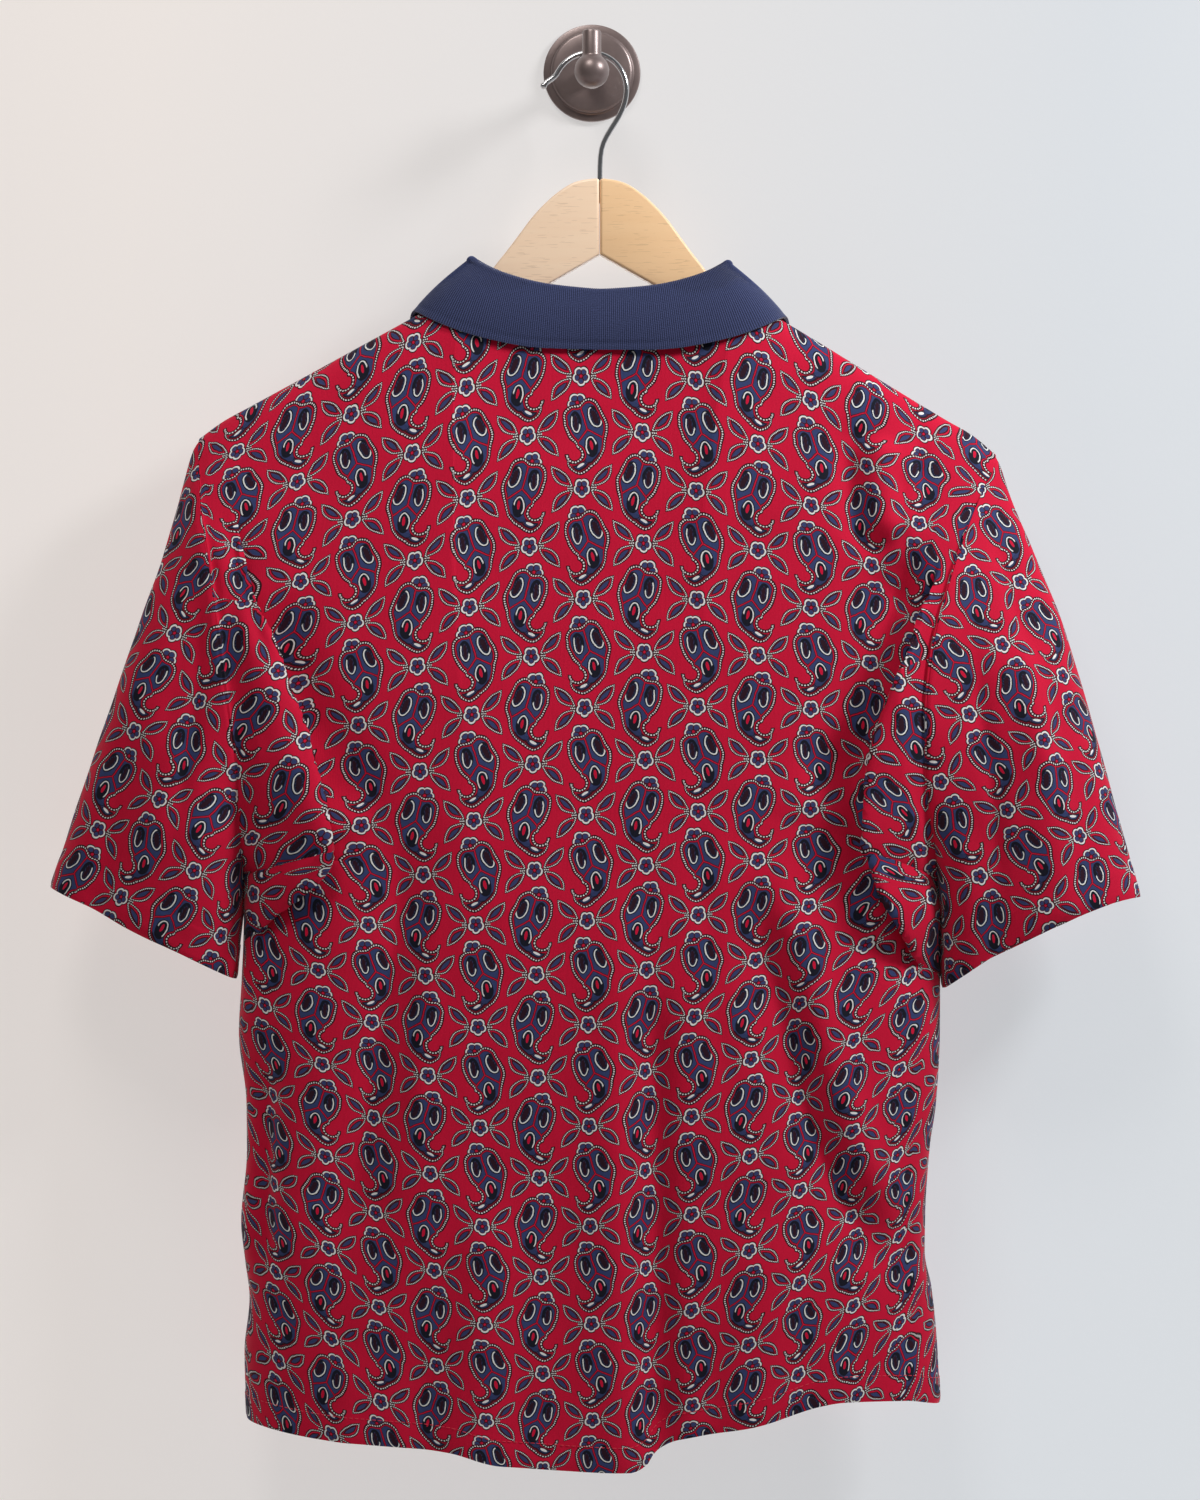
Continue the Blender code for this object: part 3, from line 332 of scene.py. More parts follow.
def hem_relief(points: Array, depth: float, ridge: float) -> Array:
    """Added thickness of a turned hem, thinner at its rounded edge.

    Args:
        points: the cloth's points.
        depth: height of the turned hem.
        ridge: what it adds.

    Returns:
        Added thickness at each point.
    """
    above = hem_heights(points)
    turned = ridge * (1.0 - smooth((above - depth) / HEM_STEP))
    return turned - HEM_ROUNDING * bell(above, HEM_ROUNDING_REACH)


def ripple(x: Array, z: Array, size: float) -> Array:
    """Faint unevenness of hanging cloth.

    Args:
        x, z: places of the points.
        size: its height.

    Returns:
        Height at each point.
    """
    waves = (
        np.sin(61.0 * x + 17.0 * z + 0.7) + np.sin(-38.0 * x + 44.0 * z + 2.1)
        + np.sin(113.0 * x - 29.0 * z + 4.0) + 0.6 * np.sin(23.0 * x + 139.0 * z + 1.3)
        + 0.5 * np.sin(171.0 * x + 83.0 * z + 5.2)
    )
    return size * waves / 4.0


# ---- mesh making

def scene_object(name: str, data: bpy.types.ID) -> Object:
    """Object put in the scene."""
    thing = bpy.data.objects.new(name, data)
    bpy.context.scene.collection.objects.link(thing)
    return thing


def link(name: str, mesh: Mesh, materials: Sequence[Material], node: str = "") -> Object:
    """Put a mesh in the scene as a piece that rides on the shirt's one body.

    Args:
        name: piece name.
        mesh: its mesh.
        materials: its material slots.
        node: CAD node that it stands for, if any.

    Returns:
        The piece.
    """
    for material in materials:
        mesh.materials.append(material)
    piece = scene_object(name, mesh)
    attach(piece, "root")
    if node:
        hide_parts(node)
    return piece


def quad_mesh(name: str, points: Array, quads: Array, uv: Optional[Array] = None,
              skins: Optional[Array] = None, sharp: float = 50.0) -> Mesh:
    """Mesh of quads.

    Args:
        name: mesh name.
        points: vertices.
        quads: vertex numbers, four a row.
        uv: cloth coordinates, four pairs a quad, in metres.
        skins: material slot of each quad.
        sharp: angle above which an edge is sharp, in degrees.

    Returns:
        The mesh.
    """
    mesh = bpy.data.meshes.new(name)
    mesh.vertices.add(len(points))
    mesh.vertices.foreach_set("co", points.astype(np.float32).ravel())
    mesh.loops.add(quads.size)
    mesh.loops.foreach_set("vertex_index", quads.astype(np.int32).ravel())
    mesh.polygons.add(len(quads))
    mesh.polygons.foreach_set("loop_start", np.arange(0, quads.size, 4, dtype=np.int32))
    mesh.polygons.foreach_set("loop_total", np.full(len(quads), 4, dtype=np.int32))
    if skins is not None:
        mesh.polygons.foreach_set("material_index", skins.astype(np.int32))
    if uv is not None:
        layer = mesh.uv_layers.new(name="cloth")
        layer.data.foreach_set("uv", uv.astype(np.float32).ravel())
    mesh.update(calc_edges=True)
    mesh.validate()
    mesh.shade_smooth()
    mesh.set_sharp_from_angle(angle=math.radians(sharp))
    return mesh


class Skin(IntEnum):
    """Material slots of a cloth piece."""

    SHOWN = 0
    REVERSE = 1


def cloth_mesh(name: str, inner: Array, outer: Array, uv: Array, ring: bool,
               flipped: bool, lap: Optional[tuple[Array, Array]] = None) -> Mesh:
    """Closed thin shell between two grids.

    Args:
        name: mesh name.
        inner: points of the reverse side.
        outer: points of the shown side.
        uv: cloth coordinates. A ring has one column more than its points.
        ring: whether the last column joins the first.
        flipped: whether the outer side's faces turn the other way.
        lap: distance inside the laps, and the cloth coordinates there.

    Returns:
        The mesh.
    """
    rows, columns = inner.shape[:2]
    number = np.arange(rows * columns).reshape(rows, columns)
    if ring:
        number = np.concatenate((number, number[:, :1]), axis=1)
    flat = np.arange(uv.shape[0] * uv.shape[1]).reshape(uv.shape[:2])

    def corners(grid: Array) -> Array:
        """Four corners of each cell of a grid of numbers."""
        cells = np.stack((grid[:-1, :-1], grid[:-1, 1:], grid[1:, 1:], grid[1:, :-1]), axis=-1)
        return cells.reshape(-1, 4)

    def wall(line: Array) -> Array:
        """Rim quads along a line of numbers."""
        return np.stack((line[:-1], line[1:], line[1:] + offset, line[:-1] + offset), axis=-1)

    offset = rows * columns
    face, face_uv = corners(number), corners(flat)
    rims = [(number[-1], flat[-1]), (number[0][::-1], flat[0][::-1])]
    if not ring:
        rims += [(number[:, 0], flat[:, 0]), (number[::-1, -1], flat[::-1, -1])]
    rim = np.concatenate([wall(line) for line, _ in rims])
    rim_uv = np.concatenate([
        np.stack((line[:-1], line[1:], line[1:], line[:-1]), axis=-1) for _, line in rims
    ])
    quads = np.concatenate((face[:, ::-1], face + offset, rim[:, ::-1]))
    quad_uv = np.concatenate((face_uv[:, ::-1], face_uv, rim_uv[:, ::-1]))
    if flipped:
        quads, quad_uv = quads[:, ::-1], quad_uv[:, ::-1]
    skins = np.zeros(len(quads))
    skins[:len(face)] = Skin.REVERSE
    points = np.concatenate((inner.reshape(-1, 3), outer.reshape(-1, 3)))
    mesh = quad_mesh(name, points, quads, uv.reshape(-1, 2)[quad_uv].reshape(-1), skins)
    if lap is not None:
        depth, lap_uv = lap
        layer = mesh.uv_layers.new(name="lap_cloth")
        layer.data.foreach_set("uv", lap_uv.reshape(-1, 2)[quad_uv].astype(np.float32).ravel())
        attribute = mesh.attributes.new("lap", "FLOAT", "POINT")
        attribute.data.foreach_set("value", np.tile(depth.ravel(), 2).astype(np.float32))
    return mesh


def round_mesh(name: str, rings: Array, sharp: float = 40.0) -> Mesh:
    """Closed mesh over rings of points, capped at both ends.

    Args:
        name: mesh name.
        rings: points, ring by ring.
        sharp: angle above which an edge is sharp, in degrees.

    Returns:
        The mesh.
    """
    count, sides = rings.shape[:2]
    faces = []
    for ring in range(count - 1):
        for side in range(sides):
            after = (side + 1) % sides
            low, high = ring * sides, (ring + 1) * sides
            faces.append((low + side, low + after, high + after, high + side))
    faces.append(tuple(range(sides))[::-1])
    faces.append(tuple((count - 1) * sides + side for side in range(sides)))
    mesh = bpy.data.meshes.new(name)
    mesh.from_pydata(rings.reshape(-1, 3).tolist(), [], faces)
    mesh.update()
    mesh.shade_smooth()
    mesh.set_sharp_from_angle(angle=math.radians(sharp))
    return mesh


def turned_rings(profile: Sequence[tuple[float, float]], sides: int) -> Array:
    """Rings of a shape turned about the Z axis.

    Args:
        profile: radius and height pairs, from the bottom up.
        sides: points a ring.

    Returns:
        The rings' points.
    """
    turn = np.linspace(0.0, 2.0 * math.pi, sides, endpoint=False)
    return np.array([
        np.stack((radius * np.cos(turn), radius * np.sin(turn), np.full(sides, height)), axis=-1)
        for radius, height in profile
    ])


def towards_viewer(points: Array) -> Array:
    """Turn a shape's +Z axis to -Y."""
    return np.stack((points[..., 0], -points[..., 2], points[..., 1]), axis=-1)


def applied(piece: Object) -> Object:
    """Piece with its modifiers made into its mesh.

    Args:
        piece: the piece.

    Returns:
        The same piece.
    """
    evaluated = piece.evaluated_get(bpy.context.evaluated_depsgraph_get())
    mesh = bpy.data.meshes.new_from_object(evaluated)
    piece.modifiers.clear()
    piece.data = mesh
    return piece


# ---- shader maths

def _operator(operation: str, turned: bool = False) -> Callable[..., "Value"]:
    """Operator that adds a Math node.

    Args:
        operation: the node's operation.
        turned: whether the other operand comes first.

    Returns:
        The method.
    """
    def method(self: "Value", *others: "Operand") -> "Value":
        """Result of the operation."""
        operands = (*others, self) if turned else (self, *others)
        return self.surface.maths(operation, *operands)
    return method


class Value:
    """One socket's number, with Python's arithmetic. | and & give the larger and the smaller."""

    def __init__(self, surface: "Surface", socket: bpy.types.NodeSocket) -> None:
        """Keep the socket and the surface that it belongs to."""
        self.surface = surface
        self.socket = socket

    __add__ = __radd__ = _operator("ADD")
    __sub__, __rsub__ = _operator("SUBTRACT"), _operator("SUBTRACT", True)
    __mul__ = __rmul__ = _operator("MULTIPLY")
    __truediv__, __rtruediv__ = _operator("DIVIDE"), _operator("DIVIDE", True)
    __pow__, __abs__ = _operator("POWER"), _operator("ABSOLUTE")
    __or__, __and__ = _operator("MAXIMUM"), _operator("MINIMUM")
    fract, rounded = _operator("FRACT"), _operator("ROUND")
    sine, cosine, root = _operator("SINE"), _operator("COSINE"), _operator("SQRT")
    above, angle = _operator("GREATER_THAN"), _operator("ARCTAN2", True)

    def __neg__(self) -> "Value":
        """Negative."""
        return self * -1.0

    def inside(self, softness: float = 0.16) -> "Value":
        """Mask of what lies inside a distance above 0, with a soft edge."""
        return self.surface.maths("MULTIPLY_ADD", self, 1.0 / softness, 0.5, clamp=True)

    def band(self, low: float, high: float) -> "Value":
        """Mask of the distances between two numbers."""
        half = (high - low) / 2.0
        return (half - abs(self - (low + high) / 2.0)).inside()

    def reach(self, y: "Value") -> "Value":
        """Distance from the origin of a place whose x is this number."""
        return (self * self + y * y).root()

    def towards(self, other: "Value", share: "Value") -> "Value":
        """Number part of the way to another."""
        return self + (other - self) * share

    def clamped(self) -> "Value":
        """Number kept from 0 to 1."""
        return self.surface.maths("ADD", self, 0.0, clamp=True)


Operand = Union[Value, float]
Given = Union[Value, float, Sequence[float]]


class Surface:
    """Node tree of one material, with a Principled shader at its end."""

    def __init__(self, name: str, **constants: Given) -> None:
        """Make the material.

        Args:
            name: material name.
            constants: what is the same all over, by socket name with _ for spaces.
        """
        self.material = bpy.data.materials.new(name)
        self.material.use_nodes = True
        self.tree = self.material.node_tree
        self.shader = self.tree.nodes["Principled BSDF"]
        for key, constant in constants.items():
            socket = key.replace("_", " ").title().replace("Ior", "IOR")
            self.shader.inputs[socket].default_value = constant

    def make(self, kind: str, settings: dict, inputs: dict, output: Union[int, str] = 0) -> Value:
        """Add a node.

        Args:
            kind: node type.
            settings: its properties, and points for a curve.
            inputs: values or links, by socket.
            output: socket to return.

        Returns:
            The output socket.
        """
        node = self.tree.nodes.new(kind)
        for key, setting in settings.items():
            if key == "points":
                self._set_points(node.mapping, setting)
            else:
                setattr(node, key, setting)
        for key, given in inputs.items():
            if isinstance(given, Value):
                self.tree.links.new(given.socket, node.inputs[key])
            else:
                node.inputs[key].default_value = given
        return Value(self, node.outputs[output])

    @staticmethod
    def _set_points(mapping: bpy.types.CurveMapping, points: Sequence[tuple[float, float]]) -> None:
        """Give a curve its points.

        Args:
            mapping: the curve's mapping.
            points: x and y of each point.
        """
        curve = mapping.curves[0]
        curve.points[0].location, curve.points[1].location = points[0], points[-1]
        for x, y in points[1:-1]:
            curve.points.new(x, y)
        mapping.update()

    def maths(self, operation: str, *operands: Operand, clamp: bool = False) -> Value:
        """Math node."""
        settings = {"operation": operation, "use_clamp": clamp}
        return self.make("ShaderNodeMath", settings, dict(enumerate(operands)))

    def vector(self, operation: str, *operands: Given, output: int = 0) -> Value:
        """Vector Math node."""
        settings = {"operation": operation}
        return self.make("ShaderNodeVectorMath", settings, dict(enumerate(operands)), output)

    def joined(self, x: Operand, y: Operand) -> Value:
        """Vector of two numbers."""
        return self.make("ShaderNodeCombineXYZ", {}, {0: x, 1: y})

    def parts(self, vector: Value) -> tuple[Value, Value, Value]:
        """Three numbers of a vector."""
        first = self.make("ShaderNodeSeparateXYZ", {}, {0: vector})
        outputs = first.socket.node.outputs
        return first, Value(self, outputs[1]), Value(self, outputs[2])

    def blend(self, mask: Operand, under: Given, over: Given, mode: str = "MIX") -> Value:
        """Colour over another where the mask is 1."""
        settings = {"data_type": "RGBA", "blend_type": mode}
        return self.make("ShaderNodeMix", settings, {0: mask, 6: under, 7: over}, 2)

    def noise(self, place: Value, scale: float, detail: float = 2.0, output: int = 0) -> Value:
        """Noise texture, from 0 to 1."""
        inputs = {"Vector": place, "Scale": scale, "Detail": detail}
        return self.make("ShaderNodeTexNoise", {}, inputs, output)

    def cloth_place(self) -> Value:
        """Place on the flat cloth, in metres."""
        return self.make("ShaderNodeUVMap", {"uv_map": "cloth"}, {})

    def printed_place(self) -> Value:
        """Place on the flat cloth, or on the sleeve's where it laps over the back, in metres.

        Returns:
            The place.
        """
        lap = self.make("ShaderNodeAttribute", {"attribute_name": "lap"}, {}, "Fac")
        mask = lap.above(0.0)
        over = self.make("ShaderNodeUVMap", {"uv_map": "lap_cloth"}, {})
        settings = {"data_type": "VECTOR"}
        return self.make("ShaderNodeMix", settings, {0: mask, 4: self.cloth_place(), 5: over}, 1)

    def millimetres(self, place: Value) -> Value:
        """Place given in metres, in millimetres."""
        return self.make("ShaderNodeVectorMath", {"operation": "SCALE"}, {0: place, "Scale": 1000.0})

    def object_place(self) -> Value:
        """Place in the shirt's frame, in metres."""
        return self.make("ShaderNodeTexCoord", {}, {}, "Object")

    def turned_place(self, place: Value, centre: tuple[float, float], degrees: float,
                     size: tuple[float, float] = (1.0, 1.0)) -> Value:
        """Place measured from a centre, along turned axes.

        Args:
            place: x and y.
            centre: new origin.
            degrees: turn of the new axes, anticlockwise.
            size: lengths that become 1.

        Returns:
            The place in the new axes.
        """
        inputs = {0: place, 1: (*centre, 0.0), 2: (0.0, 0.0, math.radians(degrees)), 3: (*size, 1.0)}
        return self.make("ShaderNodeMapping", {"vector_type": "TEXTURE"}, inputs)

    def curve(self, value: Value, points: Sequence[tuple[float, float]]) -> Value:
        """Float curve through points from 0 to 1."""
        return self.make("ShaderNodeFloatCurve", {"points": points}, {"Factor": 1.0, "Value": value})

    def bump(self, height: Value, distance: float, strength: float = 1.0) -> None:
        """Bump the surface by a height that is 1 at the distance given."""
        inputs = {"Strength": strength, "Distance": distance, "Height": height}
        self.feed("Normal", self.make("ShaderNodeBump", {}, inputs))

    def feed(self, socket: str, value: Value) -> None:
        """Link a value to the shader."""
        self.tree.links.new(value.socket, self.shader.inputs[socket])


# ---- finishes

class Ink(NamedTuple):
    """Masks of the print's colours, the later over the earlier."""

    navy: Value
    black: Value
    white: Value

    def under(self, cover: Value) -> "Ink":
        """Masks where something covers them."""
        clear = 1.0 - cover
        return Ink(self.navy * clear, self.black * clear, self.white * clear)

    def joined(self, other: "Ink") -> "Ink":
        """Masks of both."""
        return Ink(self.navy | other.navy, self.black | other.black, self.white | other.white)


class Oval(NamedTuple):
    """Oval of the print: centre, half width and half height, lean to the right in degrees."""

    x: float
    y: float
    width: float
    height: float
    lean: float

    def depth(self, place: Value) -> Value:
        """Distance inside the oval.

        Args:
            place: x and y of the motif.

        Returns:
            Distance from its edge, above 0 inside.
        """
        size, surface = (self.width, self.height), place.surface
        scaled = surface.turned_place(place, (self.x, self.y), -self.lean, size)
        reach = surface.vector("LENGTH", scaled, output=1)
        slope = surface.vector("LENGTH", surface.vector("DIVIDE", scaled, (*size, 1.0)), output=1)
        return (1.0 - reach) * reach / slope


@dataclass(frozen=True)
class PaisleyPrint:
    """All-over print: flowers with four leaves, and paisleys that turn left and right by columns."""

    surface: Surface
    half_repeat: float = 36.0
    flower_shift: float = 1.2
    paisley_shift: tuple[float, float] = (1.8, 0.6)
    outline: float = 2.5
    dot_radius: float = 0.5
    red_strip: float = 0.6
    cell_edge: float = 0.45
    centre: tuple[float, float] = (-1.0, 3.0)
    largest: float = 30.0
    dot_count: int = 68
    hollow: tuple[float, float, float] = (7.2, -13.8, 3.8)

    BODY = Table(
        "angle radius",
        (-180, 13.5), (-166, 13.5), (-150, 14), (-134, 16.2), (-124, 18.8), (-112, 21.8), (-102, 24.2),
        (-90, 26.2), (-75, 21), (-60, 14.6), (-50, 13.1), (-31, 13.4), (-9, 14), (9, 15.6), (25, 17.4),
        (37, 19.2), (48, 19.2), (62, 17.4), (70, 17), (79, 18.4), (90, 19.8), (103, 19.2), (116, 16.8),
        (128, 14.8), (148, 13.7), (180, 13.5),
    )

    def tile(self, u: Value, v: Value) -> tuple[Value, Value, Value]:
        """Place in the motif's own rhombus.

        Args:
            u, v: distance across and up the cloth.

        Returns:
            x and y from the motif's centre, and 1 or -1 by columns.
        """
        first = (u + v) / (2.0 * self.half_repeat)
        second = (u - v) / (2.0 * self.half_repeat)
        first_cell, second_cell = first.rounded(), second.rounded()
        first, second = first - first_cell, second - second_cell
        turned = 1.0 - 4.0 * ((first_cell + second_cell) * 0.5).fract()
        return (first + second) * self.half_repeat, (first - second) * self.half_repeat, turned

    def turned(self, place: Value, centre: tuple[float, float], degrees: float) -> tuple[Value, ...]:
        """Distances along and across an axis through a centre."""
        return self.surface.parts(self.surface.turned_place(place, centre, degrees))

    def dots(self, distance: Value, walked: Value, pitch: float, radius: float) -> Value:
        """Row of dots along a line.

        Args:
            distance: distance from the line.
            walked: distance along it.
            pitch: distance between dots.
            radius: radius of a dot.

        Returns:
            Mask of the dots.
        """
        along = ((walked / pitch).fract() - 0.5) * pitch
        return (radius - along.reach(distance)).inside()

    def rosette(self, x: Value, y: Value, size: float, squeeze: float) -> Ink:
        """Five-petalled flower with a white outline.

        Args:
            x, y: place from its centre.
            size: radius.
            squeeze: height over width.

        Returns:
            Its masks.
        """
        y = y / squeeze
        reach = x.reach(y)
        petal = (x.angle(y) * (5.0 / (2.0 * math.pi)) + 0.75).fract()
        lobe = (petal * math.pi).sine() ** 0.6
        inside = size * 0.86 + lobe * (size * 0.23) - reach
        border = (0.5 - abs(petal - 0.5)) * reach * (2.0 * math.pi / 5.0)
        middle = (size * 0.15 - reach).inside()
        navy = (inside - 2.2).inside() * (border - 0.34).inside() * (reach - size * 0.26).inside()
        return Ink(navy, inside.inside() * (1.0 - navy) * (1.0 - middle), inside.band(0.68, 1.72))

    def leaf(self, place: Value) -> Ink:
        """Leaf of a flower, in the quarter to its upper right.

        Args:
            place: x and y from the flower's centre, without signs.

        Returns:
            Its masks.
        """
        length, half_width = 20.4, 4.3
        along, across, _ = self.turned(place, (5.3, 0.7), 46.0)
        share = along / length
        arch = share * (1.0 - share)
        edge = arch * (4.0 * half_width) - abs(across + arch * 4.6)
        inner = (along - 4.2) / 12.6
        heart = inner * (1.0 - inner) * 7.6 - abs(across + arch * 2.6)
        white = self.dots(edge - 1.0, along, 1.18, 0.42)
        navy = (heart - 0.7).inside()
        return Ink(navy, edge.band(0.0, 2.05) | (heart.inside() * (1.0 - navy)), white)

    def flower(self, u: Value, v: Value) -> Ink:
        """Flower with its leaves and dotted stems.

        Args:
            u, v: distance across and up the cloth.

        Returns:
            Its masks.
        """
        x, y, turned = self.tile(u, v)
        x = x - turned * self.flower_shift
        bloom = self.rosette(x, y, 5.5, 1.18)
        size_x, size_y = abs(x), abs(y)
        leaves = self.leaf(self.surface.joined(size_x, size_y))
        stem = ((1.0 - size_y) & (2.2 - abs(size_x - 7.0))).inside()
        stem_dots = self.dots(size_y, size_x, 1.18, 0.44) * stem
        return bloom.joined(leaves.joined(Ink(0.0 * stem, stem, stem_dots)).under(bloom.black | bloom.navy))

    def rays(self, place: Value) -> Value:
        """Distance from the lines that part a paisley's cells.

        Args:
            place: x and y from the paisley's centre.

        Returns:
            Distance from the nearest line.
        """
        nearest: Optional[Value] = None
        for start, angle in (((-0.7, 2.2), 74.5), ((-0.7, 2.2), 209.0), ((-0.7, 2.2), -54.0),
                             ((5.2, -15.6), 218.0)):
            along, across, _ = self.turned(place, start, angle)
            distance = abs(across) + ((-along) | 0.0)
            nearest = distance if nearest is None else nearest & distance
        return nearest

    def body_curves(self) -> tuple[list[tuple[float, float]], list[tuple[float, float]], float]:
        """Curves of the paisley's radius and of the walk round its edge, by angle.

        Returns:
            The radius curve, the walk curve, and the whole walk.
        """
        angles = np.linspace(-180.0, 180.0, 361)
        radius = self.BODY.read("radius", angles)
        x, y = radius * np.cos(np.radians(angles)), radius * np.sin(np.radians(angles))
        walked = np.concatenate(((0.0,), np.cumsum(np.hypot(np.diff(x), np.diff(y)))))
        shares = (angles + 180.0) / 360.0
        every = slice(None, None, 10)
        points = list(zip(shares[every].tolist(), (radius[every] / self.largest).tolist()))
        walk = list(zip(shares[every].tolist(), (walked[every] / walked[-1]).tolist()))
        return points, walk, float(walked[-1])

    def paisley_edge(self, x: Value, y: Value) -> tuple[Value, Value]:
        """Edge of a paisley, its tail included.

        Args:
            x, y: place from the paisley's centre.

        Returns:
            Distance inside the edge, and the dots along it.
        """
        radius_curve, walk_curve, whole = self.body_curves()
        body_x, body_y = x - self.centre[0], y - self.centre[1]
        turn = body_x.angle(body_y) / (2.0 * math.pi) + 0.5
        body = (self.surface.curve(turn, radius_curve) * self.largest - body_x.reach(body_y)) * 0.93
        walked = self.surface.curve(turn, walk_curve) * whole

        tail_x, tail_y = x - self.hollow[0], y - self.hollow[1]
        tail_turn, tail_reach = tail_x.angle(tail_y), tail_x.reach(tail_y)
        fin = ((12.9 - (tail_turn + 1.675) * 6.4) | 6.5) & 13.9
        tail = (fin - tail_reach) & ((0.1 - tail_turn) * tail_reach)
        outer = body | tail
        bite = tail_reach - self.hollow[2]

        on_tail = (tail - body).inside(0.01)
        on_bite = (outer - bite).inside(0.01)
        walked = walked.towards(tail_turn * 12.3, on_tail).towards(tail_turn * 4.75, on_bite)
        inside = outer & bite
        pitch = whole / self.dot_count
        return inside, self.dots(inside - self.outline / 2.0, walked, pitch, self.dot_radius)

    def paisley(self, u: Value, v: Value) -> tuple[Ink, Value]:
        """Paisley with its bud.

        Args:
            u, v: distance across and up the cloth.

        Returns:
            Its masks, and the mask of maroon.
        """
        x, y, turned = self.tile(u, v - self.half_repeat)
        x, y = x * turned + self.paisley_shift[0], y + self.paisley_shift[1]
        place = self.surface.joined(x, y)
        inside, edge_dots = self.paisley_edge(x, y)
        shape = inside.inside()
        outline = inside.band(0.0, self.outline)

        cell = (inside - (self.outline + self.red_strip)) & (self.rays(place) - 0.36)
        fill = (cell - self.cell_edge).inside()
        cell_line = cell.inside() * (1.0 - fill)

        left_bean = Oval(-5.5, 10.3, 4.5, 7.7, 22.0).depth(place)
        right_bean = Oval(6.5, 7.0, 3.8, 7.4, 6.0).depth(place)
        low_bean = Oval(-3.2, -8.8, 4.3, 7.2, 6.0).depth(place)
        seed = Oval(-3.4, -8.0, 1.0, 3.1, 10.0).depth(place).inside()
        dash = Oval(3.4, -20.9, 0.85, 2.5, 118.0).depth(place).inside()
        tail_fill = (inside - self.outline - 0.2).inside() * (-y - x * 0.5 - 17.0).inside(0.5)

        left_arc = left_bean.band(0.75, 1.6) * (x * 0.8 - y * 0.6 + 12.4).inside(0.6)
        right_arc = right_bean.band(0.75, 1.55) * (x * 0.72 - y * 0.69 + 1.2).inside(0.6)
        low_arc = low_bean.band(0.75, 1.55) * (x * 0.8 + y * 0.6 + 9.4).inside(0.6)
        white = (left_arc | right_arc | low_arc) * fill | (dash * tail_fill)

        beans = (left_bean | right_bean | low_bean).inside(0.3)
        hatch = 0.5 + 0.5 * ((x * 0.92 + y * 0.38) * 4.2).sine()
        tail_heart = tail_fill * (inside - self.outline - 1.5).inside(0.4)
        black = (outline | cell_line | (tail_fill * (1.0 - tail_heart * 0.8))) | (beans * fill)
        black = black * (1.0 - seed) * (1.0 - (left_bean | right_bean).band(2.0, 3.0) * hatch * 0.55)
        maroon = (left_bean - 3.0).inside(0.8) | (right_bean - 2.6).inside(0.8)
        body = Ink((fill * (1.0 - seed)) | tail_heart, black, white | edge_dots)
        bud = self.rosette(x - 5.6, y - 19.6, 6.3, 1.0)
        return body.joined(bud.under(shape)), maroon * fill


@dataclass(frozen=True)
class PrintedJersey:
    """Cotton jersey with the print on its shown side."""

    red: Colour = (0.66, 0.0042, 0.042, 1.0)
    deep_red: Colour = (0.5, 0.003, 0.029, 1.0)
    navy: Colour = (0.017, 0.052, 0.15, 1.0)
    black: Colour = (0.005, 0.0045, 0.008, 1.0)
    maroon: Colour = (0.048, 0.004, 0.012, 1.0)
    white: Colour = (0.84, 0.835, 0.815, 1.0)
    warp: float = 0.55

    def shown(self) -> Material:
        """Material of the printed side.

        Returns:
            The material.
        """
        surface = Surface("printed_jersey", roughness=0.8, sheen_weight=0.06, sheen_roughness=0.4,
                          specular_ior_level=0.16)
        place = surface.millimetres(surface.printed_place())
        wobble = surface.noise(place, 0.16, 1.0, output=1)
        wobble = surface.vector("MULTIPLY_ADD", wobble, (self.warp * 2.0,) * 3, (-self.warp,) * 3)
        u, v, _ = surface.parts(surface.vector("ADD", place, wobble))

        motif = PaisleyPrint(surface)
        paisley, maroon = motif.paisley(u, v)
        ink = paisley.joined(motif.flower(u, v))

        fleck = surface.noise(place, 1.1, 3.0)
        cloud = surface.noise(place, 0.022, 2.0)
        ground = surface.blend((fleck * 0.9 + cloud * 0.5 - 0.2).clamped(), self.deep_red, self.red)
        colour = surface.blend(ink.navy * 0.97, ground, self.navy)
        colour = surface.blend(ink.black * (0.88 + fleck * 0.12), colour, self.black)
        colour = surface.blend(maroon * 0.45, colour, self.maroon)
        colour = surface.blend((ink.white * (0.72 + fleck * 0.36)).clamped(), colour, self.white)
        surface.feed("Base Color", colour)

        wales = surface.make("ShaderNodeTexWave", {"wave_type": "BANDS", "bands_direction": "X"},
                             {"Vector": place, "Scale": 0.38, "Distortion": 0.6, "Detail": 1.0})
        surface.bump(fleck * 0.7 + wales * 0.3, 0.00022, 0.75)
        return surface.material

    def reverse(self) -> Material:
        """Material of the unprinted side, on which the print shows faintly through.

        Returns:
            The material.
        """
        surface = Surface("jersey_reverse", roughness=0.85, sheen_weight=0.25, specular_ior_level=0.2)
        place = surface.millimetres(surface.cloth_place())
        u, v, _ = surface.parts(place)
        motif = PaisleyPrint(surface)
        x, y, turned = motif.tile(u, v - motif.half_repeat)
        patch = Oval(0.0, 1.0, 12.5, 21.0, 8.0).depth(surface.joined(x * turned, y))
        fleck = surface.noise(place, 0.9, 3.0)
        shade = patch.inside(3.0) * (0.35 + fleck * 0.3)
        ground = surface.blend(fleck, (0.46, 0.03, 0.055, 1.0), (0.56, 0.05, 0.08, 1.0))
        surface.feed("Base Color", surface.blend(shade.clamped(), ground, (0.13, 0.035, 0.075, 1.0)))
        surface.bump(fleck, 0.0002, 0.7)
        return surface.material


